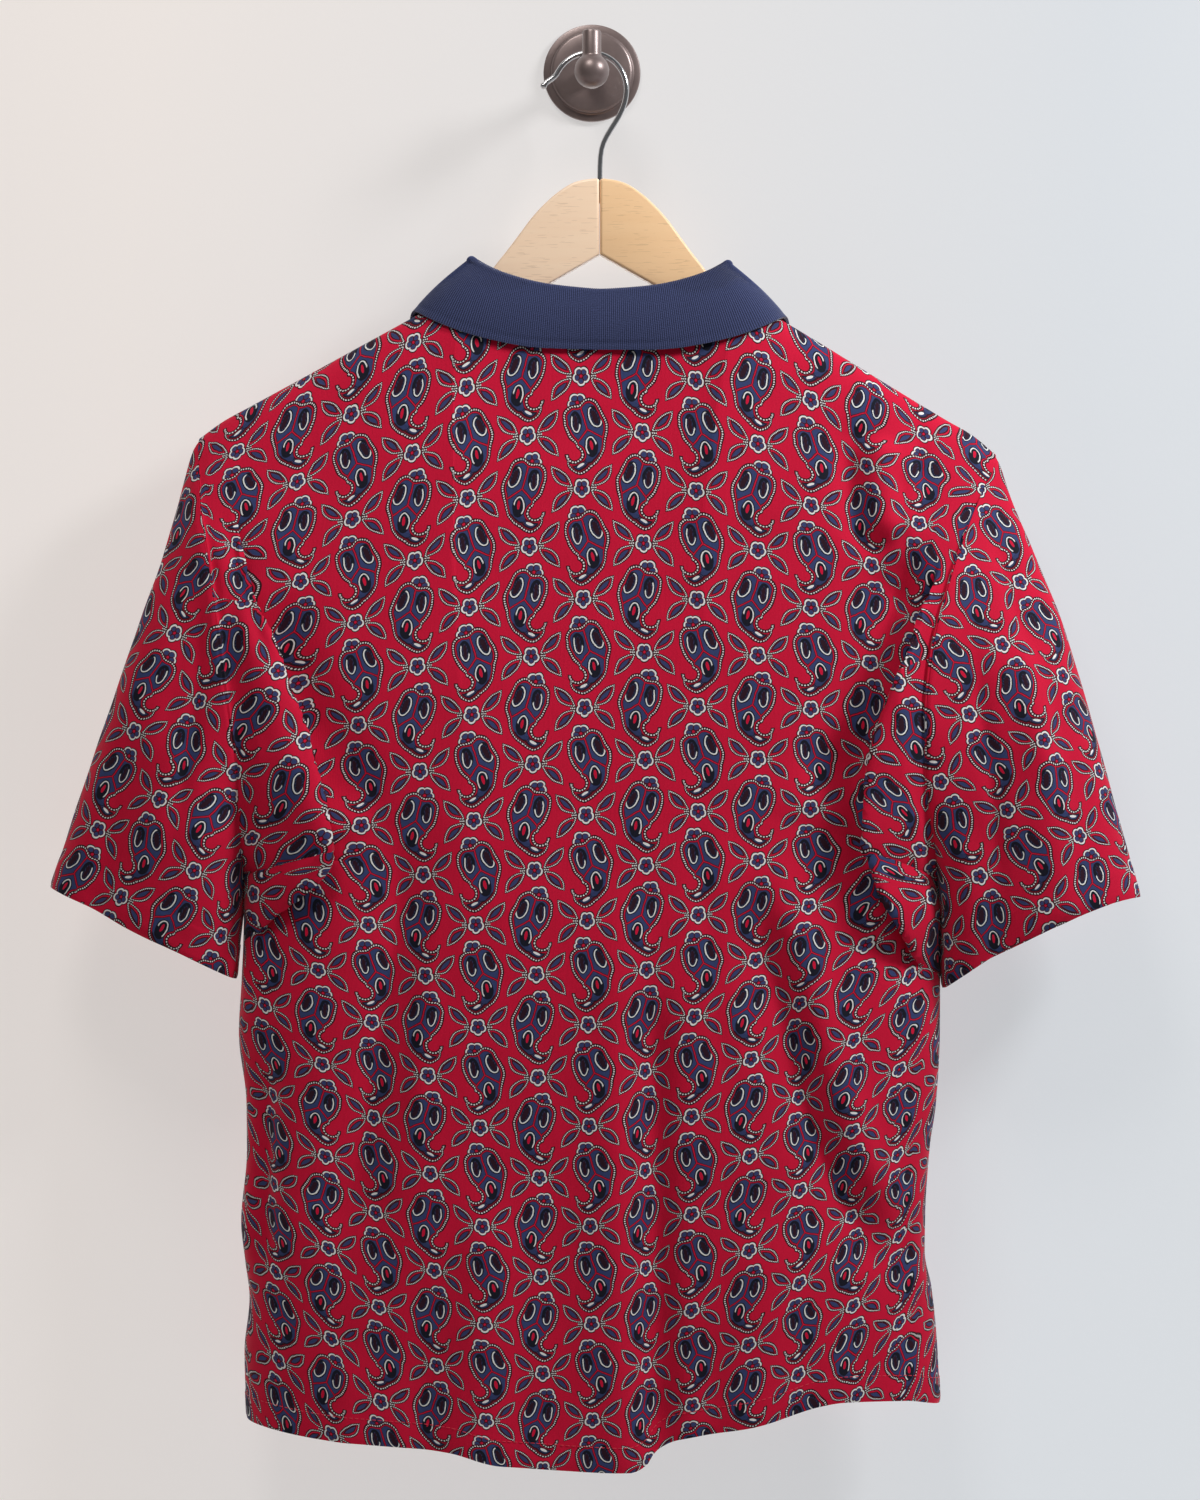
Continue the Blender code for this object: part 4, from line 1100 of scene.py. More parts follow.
@dataclass(frozen=True)
class NavyRib:
    """Flat rib knit of the collar. One unit of u is one rib and v is in metres."""

    # The valley colour is the ridge's navy darkened as painted shade for the grooves between the ribs.
    ridge: Colour = (0.07, 0.09, 0.215, 1.0)
    valley_painted_shade: Colour = (0.008, 0.0105, 0.032, 1.0)
    stitch: float = 0.0011

    def material(self) -> Material:
        """Material of the rib.

        Returns:
            The material.
        """
        surface = Surface("navy_rib", roughness=0.88, sheen_weight=0.35, sheen_roughness=0.4,
                          specular_ior_level=0.2)
        rib, along, _ = surface.parts(surface.cloth_place())
        place = surface.joined(rib, along * 700.0)
        fleck = surface.noise(place, 1.7, 2.0)
        crest = 0.5 + 0.5 * (rib * (2.0 * math.pi)).cosine()
        stitch = 0.5 + 0.5 * (along * (2.0 * math.pi / self.stitch)).cosine()
        # Painted shade: the colour darkens from the ridge colour to the valley colour down each rib's sides
        # and between stitches; only the fleck is the yarn's own unevenness.
        mask = (crest * (0.55 + 0.25 * stitch) + fleck * 0.55 - 0.18).clamped()
        surface.feed("Base Color", surface.blend(mask, self.valley_painted_shade, self.ridge))
        surface.bump(crest * 0.4 + stitch * 0.25 + fleck * 0.35, 0.0003, 0.8)
        return surface.material


@dataclass(frozen=True)
class SewingThread:
    """Sewing thread."""

    colour: Colour = (0.52, 0.01, 0.035, 1.0)

    def material(self) -> Material:
        """Material of the thread.

        Returns:
            The material.
        """
        surface = Surface("red_thread", roughness=0.55, sheen_weight=0.3)
        twist = surface.noise(surface.object_place(), 2600.0, 1.0)
        light = tuple(min(1.0, channel * 1.5) for channel in self.colour[:3]) + (1.0,)
        surface.feed("Base Color", surface.blend(twist, self.colour, light))
        return surface.material


@dataclass(frozen=True)
class ButtonPlastic:
    """Dyed polished button."""

    colour: Colour = (0.36, 0.014, 0.04, 1.0)

    def material(self) -> Material:
        """Material of the buttons.

        Returns:
            The material.
        """
        surface = Surface("button_plastic", roughness=0.28, coat_weight=0.3, coat_roughness=0.1)
        place = surface.object_place()
        marble = surface.noise(place, 330.0, 3.0)
        surface.feed("Base Color", surface.blend(marble, self.colour, (0.2, 0.006, 0.022, 1.0)))
        surface.feed("Roughness", 0.22 + marble * 0.16)
        return surface.material


@dataclass(frozen=True)
class PaleWood:
    """Lacquered pale wood. The grain follows one half of the hanger."""

    slope: float
    light: Colour
    dark: Colour

    def material(self, name: str) -> Material:
        """Material of one half.

        Args:
            name: material name.

        Returns:
            The material.
        """
        surface = Surface(name, roughness=0.38, coat_weight=0.25, coat_roughness=0.22)
        inputs = {0: surface.object_place(), 1: (0.0, 0.0, 0.0), 2: (0.0, self.slope, 0.0),
                  3: (30.0, 260.0, 420.0)}
        grain_place = surface.make("ShaderNodeMapping", {"vector_type": "POINT"}, inputs)
        inputs[3] = (7.0, 60.0, 75.0)
        figure_place = surface.make("ShaderNodeMapping", {"vector_type": "POINT"}, inputs)
        grain = surface.noise(grain_place, 1.0, 4.0)
        figure = surface.noise(figure_place, 1.0, 2.0)
        tone = (grain * 0.55 + figure * 0.75 - 0.15).clamped()
        colour = surface.blend(tone, self.dark, self.light)
        pore = surface.noise(grain_place, 3.1, 1.0).above(0.66)
        colour = surface.blend(pore * 0.22, colour, (0.36, 0.2, 0.11, 1.0))
        surface.feed("Base Color", colour)
        surface.feed("Roughness", 0.34 + grain * 0.14)
        surface.bump(grain, 0.0001, 0.5)
        return surface.material


@dataclass(frozen=True)
class ChromeWire:
    """Bright plated wire."""

    def material(self) -> Material:
        """Material of the wire.

        Returns:
            The material.
        """
        surface = Surface("chrome_wire", base_color=(0.62, 0.62, 0.63, 1.0), metallic=1.0)
        haze = surface.noise(surface.object_place(), 900.0, 2.0)
        surface.feed("Roughness", 0.1 + haze * 0.12)
        surface.bump(haze, 0.00002, 0.3)
        return surface.material


@dataclass(frozen=True)
class DarkBronze:
    """Dark semi-gloss coating of the wall hook."""

    def material(self) -> Material:
        """Material of the wall hook.

        Returns:
            The material.
        """
        surface = Surface("dark_bronze", metallic=0.55, coat_weight=0.35, coat_roughness=0.25)
        place = surface.object_place()
        cloud = surface.noise(place, 70.0, 3.0)
        speck = surface.noise(place, 1500.0, 2.0)
        colour = surface.blend(cloud, (0.15, 0.11, 0.105, 1.0), (0.25, 0.19, 0.18, 1.0))
        surface.feed("Base Color", colour)
        surface.feed("Roughness", 0.28 + speck * 0.16 + cloud * 0.08)
        surface.bump(speck, 0.00004, 0.5)
        return surface.material


# ---- the shirt's cut

@dataclass(frozen=True)
class ShirtCut:
    """Seams of the shirt as it hangs."""

    neck_share: float = 0.31
    underarm_share: float = 0.45
    body_squareness: float = 2.8
    sleeve_squareness: float = 2.3
    neck_roll: float = 0.12
    neck_slope: float = 0.05
    front_hem_sag: float = 0.014
    shoulder_turn: float = 0.46
    shoulder_end: float = 0.988
    neck_ease: float = 0.0019
    neck_clearance: float = RIB_CLOTH
    neck_middle_z: float = -0.1
    underarm_clearance: float = 0.0008
    sleeve_front_ease: float = 0.12
    seam_release: float = 0.5

    TIP_Z = {Side.LEFT: -0.24, Side.RIGHT: -0.25}
    UNDERARM_Z = {Side.LEFT: -0.515, Side.RIGHT: -0.5213}
    HEM_Z = {Side.LEFT: -0.8556, Side.RIGHT: -0.846}
    SHOULDER = Table(
        "share left_x left_z right_x right_z",
        (0, -0.2472, -0.24, 0.2544, -0.25), (0.09, -0.2322, -0.2292, 0.2396, -0.2378),
        (0.19, -0.2154, -0.22, 0.2232, -0.2283), (0.8, -0.1138, -0.1643, 0.1223, -0.1669),
        (1, -0.08, -0.1455, 0.09, -0.1481),
    )
    ARMHOLE = Table(
        "share left_x right_x back_y front_y",
        (0, -0.2472, 0.2544, -0.042, -0.042), (0.004, -0.2472, 0.2543, -0.0462, -0.0378),
        (0.015, -0.2472, 0.2538, -0.049, -0.035), (0.05, -0.2468, 0.25, -0.055, -0.03),
        (0.14, -0.2452, 0.2385, -0.068, -0.0235), (0.3, -0.2375, 0.2225, -0.085, -0.0185),
        (0.45, -0.2318, 0.2118, -0.094, -0.0165), (0.6, -0.2262, 0.2078, -0.0975, -0.0165),
        (0.75, -0.221, 0.208, -0.094, -0.019), (0.88, -0.2188, 0.213, -0.081, -0.027),
        (0.96, -0.2185, 0.2165, -0.065, -0.036), (1, -0.2185, 0.218, -0.047, -0.047),
    )
    SIDE_SEAM = Table(
        "share left_x right_x",
        (0, -0.2185, 0.218), (0.12, -0.2192, 0.2196), (0.2, -0.2204, 0.2192), (0.29, -0.222, 0.219),
        (0.42, -0.2172, 0.2166), (0.51, -0.2169, 0.2125), (0.64, -0.2205, 0.2097), (0.71, -0.218, 0.2094),
        (0.78, -0.2152, 0.2137), (0.88, -0.2184, 0.217), (1, -0.2169, 0.219),
    )
    BACK_HEM = Table(
        "x z",
        (-0.2169, -0.8556), (-0.167, -0.8629), (-0.0872, -0.8691), (-0.0552, -0.877), (0.0237, -0.8812),
        (0.0329, -0.8775), (0.0391, -0.8695), (0.0539, -0.8618), (0.0994, -0.8532), (0.1573, -0.8395),
        (0.1937, -0.8405), (0.219, -0.846),
    )
    BODY_DEPTH = Table(
        "share back_y front_y",
        (0, -0.042, -0.042), (0.0015, -0.0464, -0.0376), (0.006, -0.05, -0.034), (0.018, -0.055, -0.0295),
        (0.042, -0.0595, -0.0262), (0.078, -0.0635, -0.0238), (0.12, -0.068, -0.0215),
        (0.2, -0.0745, -0.0185), (0.35, -0.086, -0.0145), (0.6, -0.098, -0.012), (1, -0.104, -0.011),
    )
    COLLAR = Table(
        "turn seam_x seam_y seam_z fold_x fold_y fold_z edge_x edge_y edge_z",
        (0, 0, -0.0585, -0.176, 0, -0.057, -0.146, 0, -0.0715, -0.1848),
        (0.14, 0.03, -0.058, -0.1735, 0.033, -0.056, -0.1423, 0.037, -0.0708, -0.1837),
        (0.28, 0.061, -0.0555, -0.164, 0.064, -0.0535, -0.1335, 0.077, -0.067, -0.1762),
        (0.4, 0.081, -0.0502, -0.1505, 0.079, -0.0475, -0.125, 0.108, -0.059, -0.164),
        (0.46, 0.085, -0.042, -0.1455, 0.0815, -0.04, -0.1228, 0.119, -0.042, -0.157),
        (0.53, 0.0818, -0.0335, -0.1515, 0.079, -0.031, -0.1262, 0.1215, -0.0258, -0.17),
        (0.6, 0.0762, -0.029, -0.165, 0.0742, -0.0265, -0.1375, 0.12, -0.0195, -0.183),
        (0.72, 0.0608, -0.0243, -0.1915, 0.06, -0.0215, -0.164, 0.111, -0.015, -0.216),
        (0.86, 0.0338, -0.0212, -0.2205, 0.0334, -0.018, -0.1945, 0.094, -0.0128, -0.257),
        (1, 0.0012, -0.0195, -0.235, 0.0012, -0.0165, -0.211, 0.072, -0.012, -0.29),
    )

    def shoulder(self, side: Side, share: Array) -> tuple[Array, Array]:
        """x and z along a shoulder, from its tip (0) to the neck (1)."""
        return self.SHOULDER.read(side.word + "_x", share), self.SHOULDER.read(side.word + "_z", share)

    def collar_line(self, line: str, side: Side, turn: Array) -> tuple[Array, ...]:
        """Points of the collar's seam, fold or edge.

        Args:
            line: seam, fold or edge.
            side: side of the shirt.
            turn: place from the middle of the back (0) to the front opening (1).

        Returns:
            x, y and z.
        """
        out = self.COLLAR.read(line + "_x", turn)
        height = self.COLLAR.read(line + "_z", turn)
        if side == Side.RIGHT:
            height = height - RIGHT_TILT * out
        return CENTRE_X + side * out, self.COLLAR.read(line + "_y", turn), height

    def top_edge(self, face: Face, across: Array) -> tuple[Array, ...]:
        """Shoulders and neckline of a panel.

        Args:
            face: the panel.
            across: share from the left tip (0) to the right tip (1).

        Returns:
            x, y and z.
        """
        along = (across - self.neck_share) / (1.0 - 2.0 * self.neck_share)
        from_middle = np.clip(np.abs(1.0 - 2.0 * along), 0.0, 1.0)
        back, front = self.shoulder_turn * from_middle, 1.0 - (1.0 - self.shoulder_turn) * from_middle
        turn = back if face == Face.BACK else front
        edge = np.zeros((3, *across.shape))
        for side in Side:
            tip_share = across if side == Side.LEFT else 1.0 - across
            share = np.clip(tip_share / self.neck_share, 0.0, 1.0) * self.shoulder_end
            shoulder_x, shoulder_z = self.shoulder(side, share)
            neck_x, neck_y, neck_z = self.collar_line("seam", side, turn)
            flatness = 1.0 - 0.9 * smooth(np.abs(turn - self.shoulder_turn) / 0.4)
            ease = self.neck_ease + self.neck_clearance * flatness
            away = np.hypot(neck_x - CENTRE_X, neck_z - self.neck_middle_z)
            neck_x = neck_x + ease * (neck_x - CENTRE_X) / away
            neck_z = neck_z + ease * (neck_z - self.neck_middle_z) / away
            shoulder = (shoulder_x, np.full_like(across, HANG_Y), shoulder_z)
            half = np.where(tip_share <= self.neck_share, shoulder, (neck_x, neck_y, neck_z))
            edge = np.where(tip_share <= 0.5, half, edge)
        return tuple(edge)

    def side_edge(self, face: Face, side: Side, down: Array) -> tuple[Array, ...]:
        """Armhole and side seam of a panel.

        Args:
            face: the panel.
            side: side of the shirt.
            down: share from the shoulder tip (0) to the hem (1).

        Returns:
            x, y and z.
        """
        tip_z, underarm_z = self.TIP_Z[side], self.UNDERARM_Z[side]
        upper = np.clip(down / self.underarm_share, 0.0, 1.0)
        lower = np.clip((down - self.underarm_share) / (1.0 - self.underarm_share), 0.0, 1.0)
        armhole_x = self.ARMHOLE.read(side.word + "_x", upper)
        seam_x = self.SIDE_SEAM.read(side.word + "_x", lower)
        depth = self.ARMHOLE.read("back_y" if face == Face.BACK else "front_y", upper)
        on_armhole = down < self.underarm_share
        y = np.where(on_armhole, depth, SIDE_Y)
        z = tip_z + upper * (underarm_z - tip_z) + lower * (self.HEM_Z[side] - underarm_z)
        return np.where(on_armhole, armhole_x, seam_x), y + face * SEAM_GAP / 2.0, z

    def hem_edge(self, face: Face, across: Array) -> tuple[Array, Array]:
        """x and z of a panel's lower edge.

        Args:
            face: the panel.
            across: share from the left corner (0) to the right (1).

        Returns:
            x and z.
        """
        left_x = self.SIDE_SEAM.columns["left_x"][-1]
        right_x = self.SIDE_SEAM.columns["right_x"][-1]
        x = left_x + across * (right_x - left_x)
        if face == Face.BACK:
            return x, self.BACK_HEM.read("z", x)
        left_z, right_z = self.HEM_Z[Side.LEFT], self.HEM_Z[Side.RIGHT]
        straight = left_z + across * (right_z - left_z)
        return x, straight - self.front_hem_sag * 4.0 * across * (1.0 - across)

    def body_points(self, face: Face, across: Array, down: Array) -> Array:
        """Reverse side of a panel, without folds.

        Args:
            face: the panel.
            across: share from left to right.
            down: share from the shoulders to the hem.

        Returns:
            The points.
        """
        top = self.top_edge(face, across)
        hem_x, hem_z = self.hem_edge(face, across)
        left, right = (self.side_edge(face, side, down) for side in Side)
        left_ends, right_ends = (self.side_edge(face, side, np.array([0.0, 1.0])) for side in Side)

        def spread(hem: Array, axis: int) -> Array:
            """One axis, blended from the four edges.

            Args:
                hem: the lower edge.
                axis: 0 for x, 2 for z.

            Returns:
                The axis at each point.
            """
            upper, lower = (
                (1.0 - across) * left_ends[axis][end] + across * right_ends[axis][end] for end in (0, 1)
            )
            corners = (1.0 - down) * upper + down * lower
            sides = (1.0 - across) * left[axis] + across * right[axis]
            return sides + (1.0 - down) * top[axis] + down * hem - corners

        x, z = spread(hem_x, 0), spread(hem_z, 2)
        depth_name = "back_y" if face == Face.BACK else "front_y"
        middle = self.BODY_DEPTH.read(depth_name, down) + face * SEAM_GAP / 2.0
        y = (1.0 - across) * left[1] + across * right[1]
        y = y + (middle - (left[1] + right[1]) / 2.0) * bow(across, self.body_squareness)
        neck_middle = self.COLLAR.columns["seam_y"][0 if face == Face.BACK else -1]
        neckness = (top[1] - HANG_Y) / (neck_middle - HANG_Y)
        target = neck_middle + face * self.neck_slope * down
        y = y + neckness * (1.0 - smooth(down / self.neck_roll)) * (target - middle)
        return np.stack((x, y, z), axis=-1)

    def armhole_loop(self, side: Side, angle: Array) -> Array:
        """Armhole as a ring: angle 0 is the shoulder tip, pi the underarm.

        Args:
            side: side of the shirt.
            angle: angle around the ring.

        Returns:
            The points.
        """
        share = (1.0 - signed_power(np.cos(angle), 2.0 / self.sleeve_squareness)) / 2.0
        tip_z = self.TIP_Z[side]
        on_back = np.sin(angle) >= 0.0
        easing = self.sleeve_front_ease * smooth(share / 0.1)
        front_opening = easing + (1.0 - easing) * smooth((share - 0.45) / 0.5)
        opening = np.where(on_back, smooth((share - 0.65) / 0.33), front_opening)
        gap = SEAM_GAP + (self.underarm_clearance - SEAM_GAP) * opening
        x = self.ARMHOLE.read(side.word + "_x", share) + side * gap
        y = np.where(on_back, self.ARMHOLE.read("back_y", share), self.ARMHOLE.read("front_y", share))
        return np.stack((x, y, tip_z + share * (self.UNDERARM_Z[side] - tip_z)), axis=-1)


class PrintLay(NamedTuple):
    """How the print lies on a piece: origin in x and z, lean, and stretches across and down."""

    x: float
    z: float
    lean: float
    across: float
    down: float


SLEEVE_PRINT = {
    Side.LEFT: PrintLay(-0.2609, -0.3629, 22.0, 1.05, 1.1),
    Side.RIGHT: PrintLay(0.2782, -0.4302, -22.0, 1.05, 1.13),
}


def laid(lay: PrintLay, x: Array, z: Array) -> tuple[Array, Array]:
    """Flat cloth coordinates of points in the picture's plane.

    Args:
        lay: how the print lies.
        x, z: places of the points.

    Returns:
        Distance across and up the cloth, in metres.
    """
    turn = math.radians(lay.lean)
    dx, dz = x - lay.x, z - lay.z
    return (
        (dx * math.cos(turn) - dz * math.sin(turn)) * lay.across,
        (dx * math.sin(turn) + dz * math.cos(turn)) * lay.down,
    )


def extra_length(points: Array, axis: int, plane: int, start: Array) -> Array:
    """Length that the cloth's depth adds along a grid.

    Args:
        points: the grid.
        axis: grid axis to walk along.
        plane: 0 to measure against x, 2 against z.
        start: index from which it is measured.

    Returns:
        Added length at each point, signed.
    """
    steps = np.diff(points, axis=axis)
    added = np.hypot(steps[..., plane], steps[..., 1]) - np.abs(steps[..., plane])
    pad = [(0, 0), (0, 0)]
    pad[axis] = (1, 0)
    total = np.cumsum(np.pad(added, pad), axis=axis)
    return total - np.take_along_axis(total, start, axis=axis)


@dataclass
class BodyPanel:
    """Back or front of the shirt."""

    cut: ShirtCut
    face: Face
    folds: tuple[Fold, ...]
    creases: tuple[Fold, ...]
    shoulder_columns: int
    neck_columns: int
    armhole_rows: int
    lower_rows: int
    laps: dict[Side, Lap] = field(default_factory=dict)
    sleeves: dict[Side, "Sleeve"] = field(default_factory=dict)
    crowding: float = 1.35
    hem_depth: float = 0.0165
    hem_ridge: float = 0.0005
    fold_margin: float = 0.035
    crease_margin: float = 0.012
    ripple_height: float = 0.0007
    seam_dip: float = 0.001
    seam_width: float = 0.004
    print_x: float = 0.083
    print_z: float = -0.2368
    print_origin: float = -0.1244
    lengthening: float = 0.37
    widening: float = 0.09

    CREST = (0.0, 0.0007, 0.0015, 0.003, 0.006, 0.011, 0.018, 0.028, 0.04)

    def shares(self) -> tuple[Array, Array]:
        """Shares across and down at each point of the panel's grid.

        Returns:
            Shares across, and shares down.
        """
        cut = self.cut
        steps = np.arange(self.shoulder_columns) / self.shoulder_columns
        shoulder = cut.neck_share * steps ** self.crowding
        neck = np.linspace(cut.neck_share, 1.0 - cut.neck_share, self.neck_columns + 1)
        columns = np.concatenate((shoulder, neck, 1.0 - shoulder[::-1]))
        upper = np.linspace(self.CREST[-1], cut.underarm_share, self.armhole_rows + 1)[1:]
        lower = np.linspace(cut.underarm_share, 1.0, self.lower_rows + 1)[1:]
        rows = np.concatenate((self.CREST, upper, lower))
        return np.meshgrid(columns, rows)

    def draped(self, across: Array, down: Array, lapped: bool = True) -> Array:
        """Reverse side of the panel with its folds and creases.

        Args:
            across: share from left to right.
            down: share from the shoulders to the hem.
            lapped: whether the laps are laid too.

        Returns:
            The points.
        """
        points = self.cut.body_points(self.face, across, down)
        laps = self.laps if lapped else {}
        x, z = points[..., 0], points[..., 2]
        from_side = np.minimum(across, 1.0 - across)
        calm = smooth(from_side / self.fold_margin) * smooth((down - 0.02) / 0.04)
        height = fold_height(self.folds, x, z) * calm
        near = smooth(from_side / self.crease_margin) * smooth((down - 0.012) / 0.02)
        fine = fold_height(self.creases, x, z, CREASE_FADE) + ripple(x, z, self.ripple_height)
        height = height + fine * near
        for side, lap in laps.items():
            height = height + lap_height(side, lap, x, z) * near
        side_x = np.minimum(np.abs(x - x[:, :1]), np.abs(x - x[:, -1:]))
        sewn = smooth((down - 0.01) / 0.03)
        if self.laps:
            sewn = sewn * (1.0 - smooth((down - 0.17) / 0.04) * (1.0 - smooth((down - 0.45) / 0.05)))
        height = height - self.seam_dip * bell(side_x, self.seam_width) * sewn
        points = points + self.face * outward(points) * height[..., None]
        for side, lap in laps.items():
            points = points + lap_slide(side, lap, x, z) * near[..., None]
        return points

    def cloth_uv(self, points: Array, plain: Array, across: Array) -> Array:
        """Cloth coordinates of the print.

        Args:
            points: the panel's points, without laps.
            plain: the panel's points without folds.
            across: share from left to right.

        Returns:
            Distance across and up the cloth, in metres.
        """
        x, z = points[..., 0], points[..., 2]
        rows = points.shape[0]
        middle = np.full((rows, 1), int(np.argmin(np.abs(across[0] - 0.5))))
        start = np.argmin(np.abs(z - self.print_z), axis=0)[None, :]
        u_more = extra_length(points, 1, 0, middle)
        v_more = extra_length(plain, 0, 2, start)
        depth = np.clip((self.print_z - z) / 0.57, 0.0, 1.0)
        sag = (1.0 - depth) * 0.95 * (x - 0.01) ** 2 - depth * 1.15 * (x + 0.03) ** 2
        drop = self.print_z - z - sag
        stretch = 1.0 + self.widening * np.clip(drop / 0.6, 0.0, 1.0)
        u = (x - self.print_x) * stretch - self.print_origin + u_more
        v = -(drop + 0.5 * self.lengthening * np.maximum(drop, 0.0) ** 2 + v_more)
        return np.stack((u, v), axis=-1)

    def lap_print(self, points: Array) -> Optional[tuple[Array, Array]]:
        """Where the sleeves' print lies on the panel.

        Args:
            points: the panel's points.

        Returns:
            Distance inside the laps and cloth coordinates, or None without laps.
        """
        if not self.laps:
            return None
        x, z = points[..., 0], points[..., 2]
        depth = np.full(x.shape, -1.0)
        uv = np.zeros(x.shape + (2,))
        for side in self.laps:
            signed, _ = along_path(LAP_PRINT_EDGES[side], x, z)
            here = np.sign(x) == side
            depth = np.where(here, signed * side, depth)
            seam, seam_uv = self.sleeves[side].seam_print()
            flat = laid(SLEEVE_PRINT[side], x, z)
            at_seam = laid(SLEEVE_PRINT[side], seam[:, 0], seam[:, 2])
            for axis in range(2):
                shift = np.interp(z, seam[:, 2], seam_uv[:, axis] - at_seam[axis])
                uv[..., axis] = np.where(here, flat[axis] + shift, uv[..., axis])
        return depth, uv

    def build(self, name: str, jersey: Sequence[Material]) -> Object:
        """Make the panel.

        Args:
            name: CAD node that it stands for.
            jersey: materials of its two sides.

        Returns:
            The piece.
        """
        across, down = self.shares()
        inner = self.draped(across, down)
        thickness = CLOTH + hem_relief(inner, self.hem_depth, self.hem_ridge)
        outer = inner + self.face * outward(inner) * thickness[..., None]
        plain = self.cut.body_points(self.face, across, down)
        uv = self.cloth_uv(self.draped(across, down, False), plain, across)
        mesh = cloth_mesh(name + "_cloth", inner, outer, uv, False, self.face == Face.BACK,
                          self.lap_print(plain))
        return link(name + "_cloth", mesh, jersey, name)


@dataclass
class Sleeve:
    """Set-in short sleeve."""

    cut: ShirtCut
    side: Side
    cuff_x: float
    cuff_z: float
    back_bow: float
    front_bow: float
    folds: tuple[tuple[float, float, float, float, float, float], ...]
    back_creases: tuple[Fold, ...]
    front_creases: tuple[Fold, ...]
    around: int = 144
    along: int = 96
    hem_depth: float = 0.02
    hem_ridge: float = 0.0004
    ripple_height: float = 0.0006
    seam_dip: float = 0.0008
    seam_width: float = 0.013

    TOP = Table(
        "share left_x left_z right_x right_z",
        (0, -0.2475, -0.24, 0.2547, -0.25), (0.03, -0.2508, -0.2475, 0.2572, -0.2578),
        (0.1, -0.2557, -0.2663, 0.2625, -0.274), (0.25, -0.2677, -0.3117, 0.2774, -0.312),
        (0.42, -0.284, -0.359, 0.2941, -0.3564), (1, -0.3391, -0.5223, 0.3438, -0.5286),
    )
    DEPTH = Table(
        "share middle_y half_depth",
        (0, -0.056, 0.04), (0.5, -0.056, 0.0395), (1, -0.0545, 0.032),
    )

    def ring(self, angle: Array, along: Array) -> Array:
        """Flattened ring between the sleeve's outer and lower folds.

        Args:
            angle: angle around the ring, 0 at the outer fold.
            along: share from the armhole (0) to the cuff (1).

        Returns:
            The points.
        """
        top_x = self.TOP.read(self.side.word + "_x", along)
        top_z = self.TOP.read(self.side.word + "_z", along)
        underarm = self.cut.armhole_loop(self.side, np.array([math.pi]))[0]
        low_x = underarm[0] + along * (self.cuff_x - underarm[0])
        low_z = underarm[2] + along * (self.cuff_z - underarm[2])
        power = 2.0 / self.cut.sleeve_squareness
        height, depth = signed_power(np.cos(angle), power), signed_power(np.sin(angle), power)
        rise = np.where(depth > 0.0, self.back_bow, self.front_bow) * depth**2 * along**3
        x = (top_x + low_x) / 2.0 + height * (top_x - low_x) / 2.0
        z = (top_z + low_z) / 2.0 + height * (top_z - low_z) / 2.0 + rise
        y = self.DEPTH.read("middle_y", along) - depth * self.DEPTH.read("half_depth", along)
        return np.stack((x, y, z), axis=-1)

    def points(self, angle: Array, along: Array) -> Array:
        """Reverse side of the sleeve with its folds and creases.

        Args:
            angle: angle around the ring, 0 at the outer fold.
            along: share from the armhole to the cuff.

        Returns:
            The points.
        """
        points = self.ring(angle, along)
        at_seam = self.cut.armhole_loop(self.side, angle) - self.ring(angle, np.zeros_like(along))
        points = points + at_seam * (1.0 - smooth(along / self.cut.seam_release))[..., None]
        height = np.zeros(along.shape)
        degrees = np.degrees(angle)
        for size, start_angle, end_angle, width, start, end in self.folds:
            share = (along - start) / (end - start)
            centre = start_angle + share * (end_angle - start_angle)
            height = height - size * ends(share, 0.3, 0.1) * bell(degrees - centre, width)
        x, z = points[..., 0], points[..., 2]
        start = smooth(along / 0.04)
        on_back = smooth(np.sin(angle) * 2.5) * start
        on_front = smooth(-np.sin(angle) * 2.5) * start
        height = height + fold_height(self.back_creases, x, z, CREASE_FADE) * on_back
        height = height + fold_height(self.front_creases, x, z, CREASE_FADE) * on_front
        height = height + ripple(x + points[..., 1], z, self.ripple_height) * start
        height = height - self.seam_dip * bell(along, self.seam_width)
        return points + self.side * outward(points) * height[..., None]

    def cloth_uv(self, points: Array, angle: Array) -> Array:
        """Cloth coordinates of the print, with one more column to close the ring.

        Args:
            points: the sleeve's points, from the lower fold over the front to the lower fold again.
            angle: angle around the ring.

        Returns:
            Distance across and up the cloth, in metres.
        """
        lay = SLEEVE_PRINT[self.side]
        closed = np.concatenate((points, points[:, :1]), axis=1)
        flat_u, flat_v = laid(lay, closed[..., 0], closed[..., 2])
        steps = np.hypot(np.diff(flat_u, axis=1), np.diff(closed[..., 1], axis=1))
        walked = np.cumsum(np.pad(steps, ((0, 0), (1, 0))), axis=1)
        middle = int(np.argmin(np.abs(angle[0] - math.pi / 2.0)))
        u = flat_u[:, middle:middle + 1] - self.side * (walked - walked[:, middle:middle + 1])
        return np.stack((u, flat_v), axis=-1)

    def grid(self) -> tuple[Array, Array]:
        """Angles and shares along at each point of the sleeve's grid."""
        around = np.linspace(-math.pi, math.pi, self.around, endpoint=False)
        rows = np.linspace(0.0, 1.0, self.along + 1) ** 1.12
        return np.meshgrid(around, rows)

    def seam_print(self) -> tuple[Array, Array]:
        """Print along the back of the armhole.

        Returns:
            Points from the underarm up, and cloth coordinates there.
        """
        angle, along = self.grid()
        points = self.points(angle, along)
        uv = self.cloth_uv(points, angle)[0, :-1]
        on_back = angle[0] >= 0.0
        order = np.argsort(points[0, on_back, 2])
        return points[0, on_back][order], uv[on_back][order]

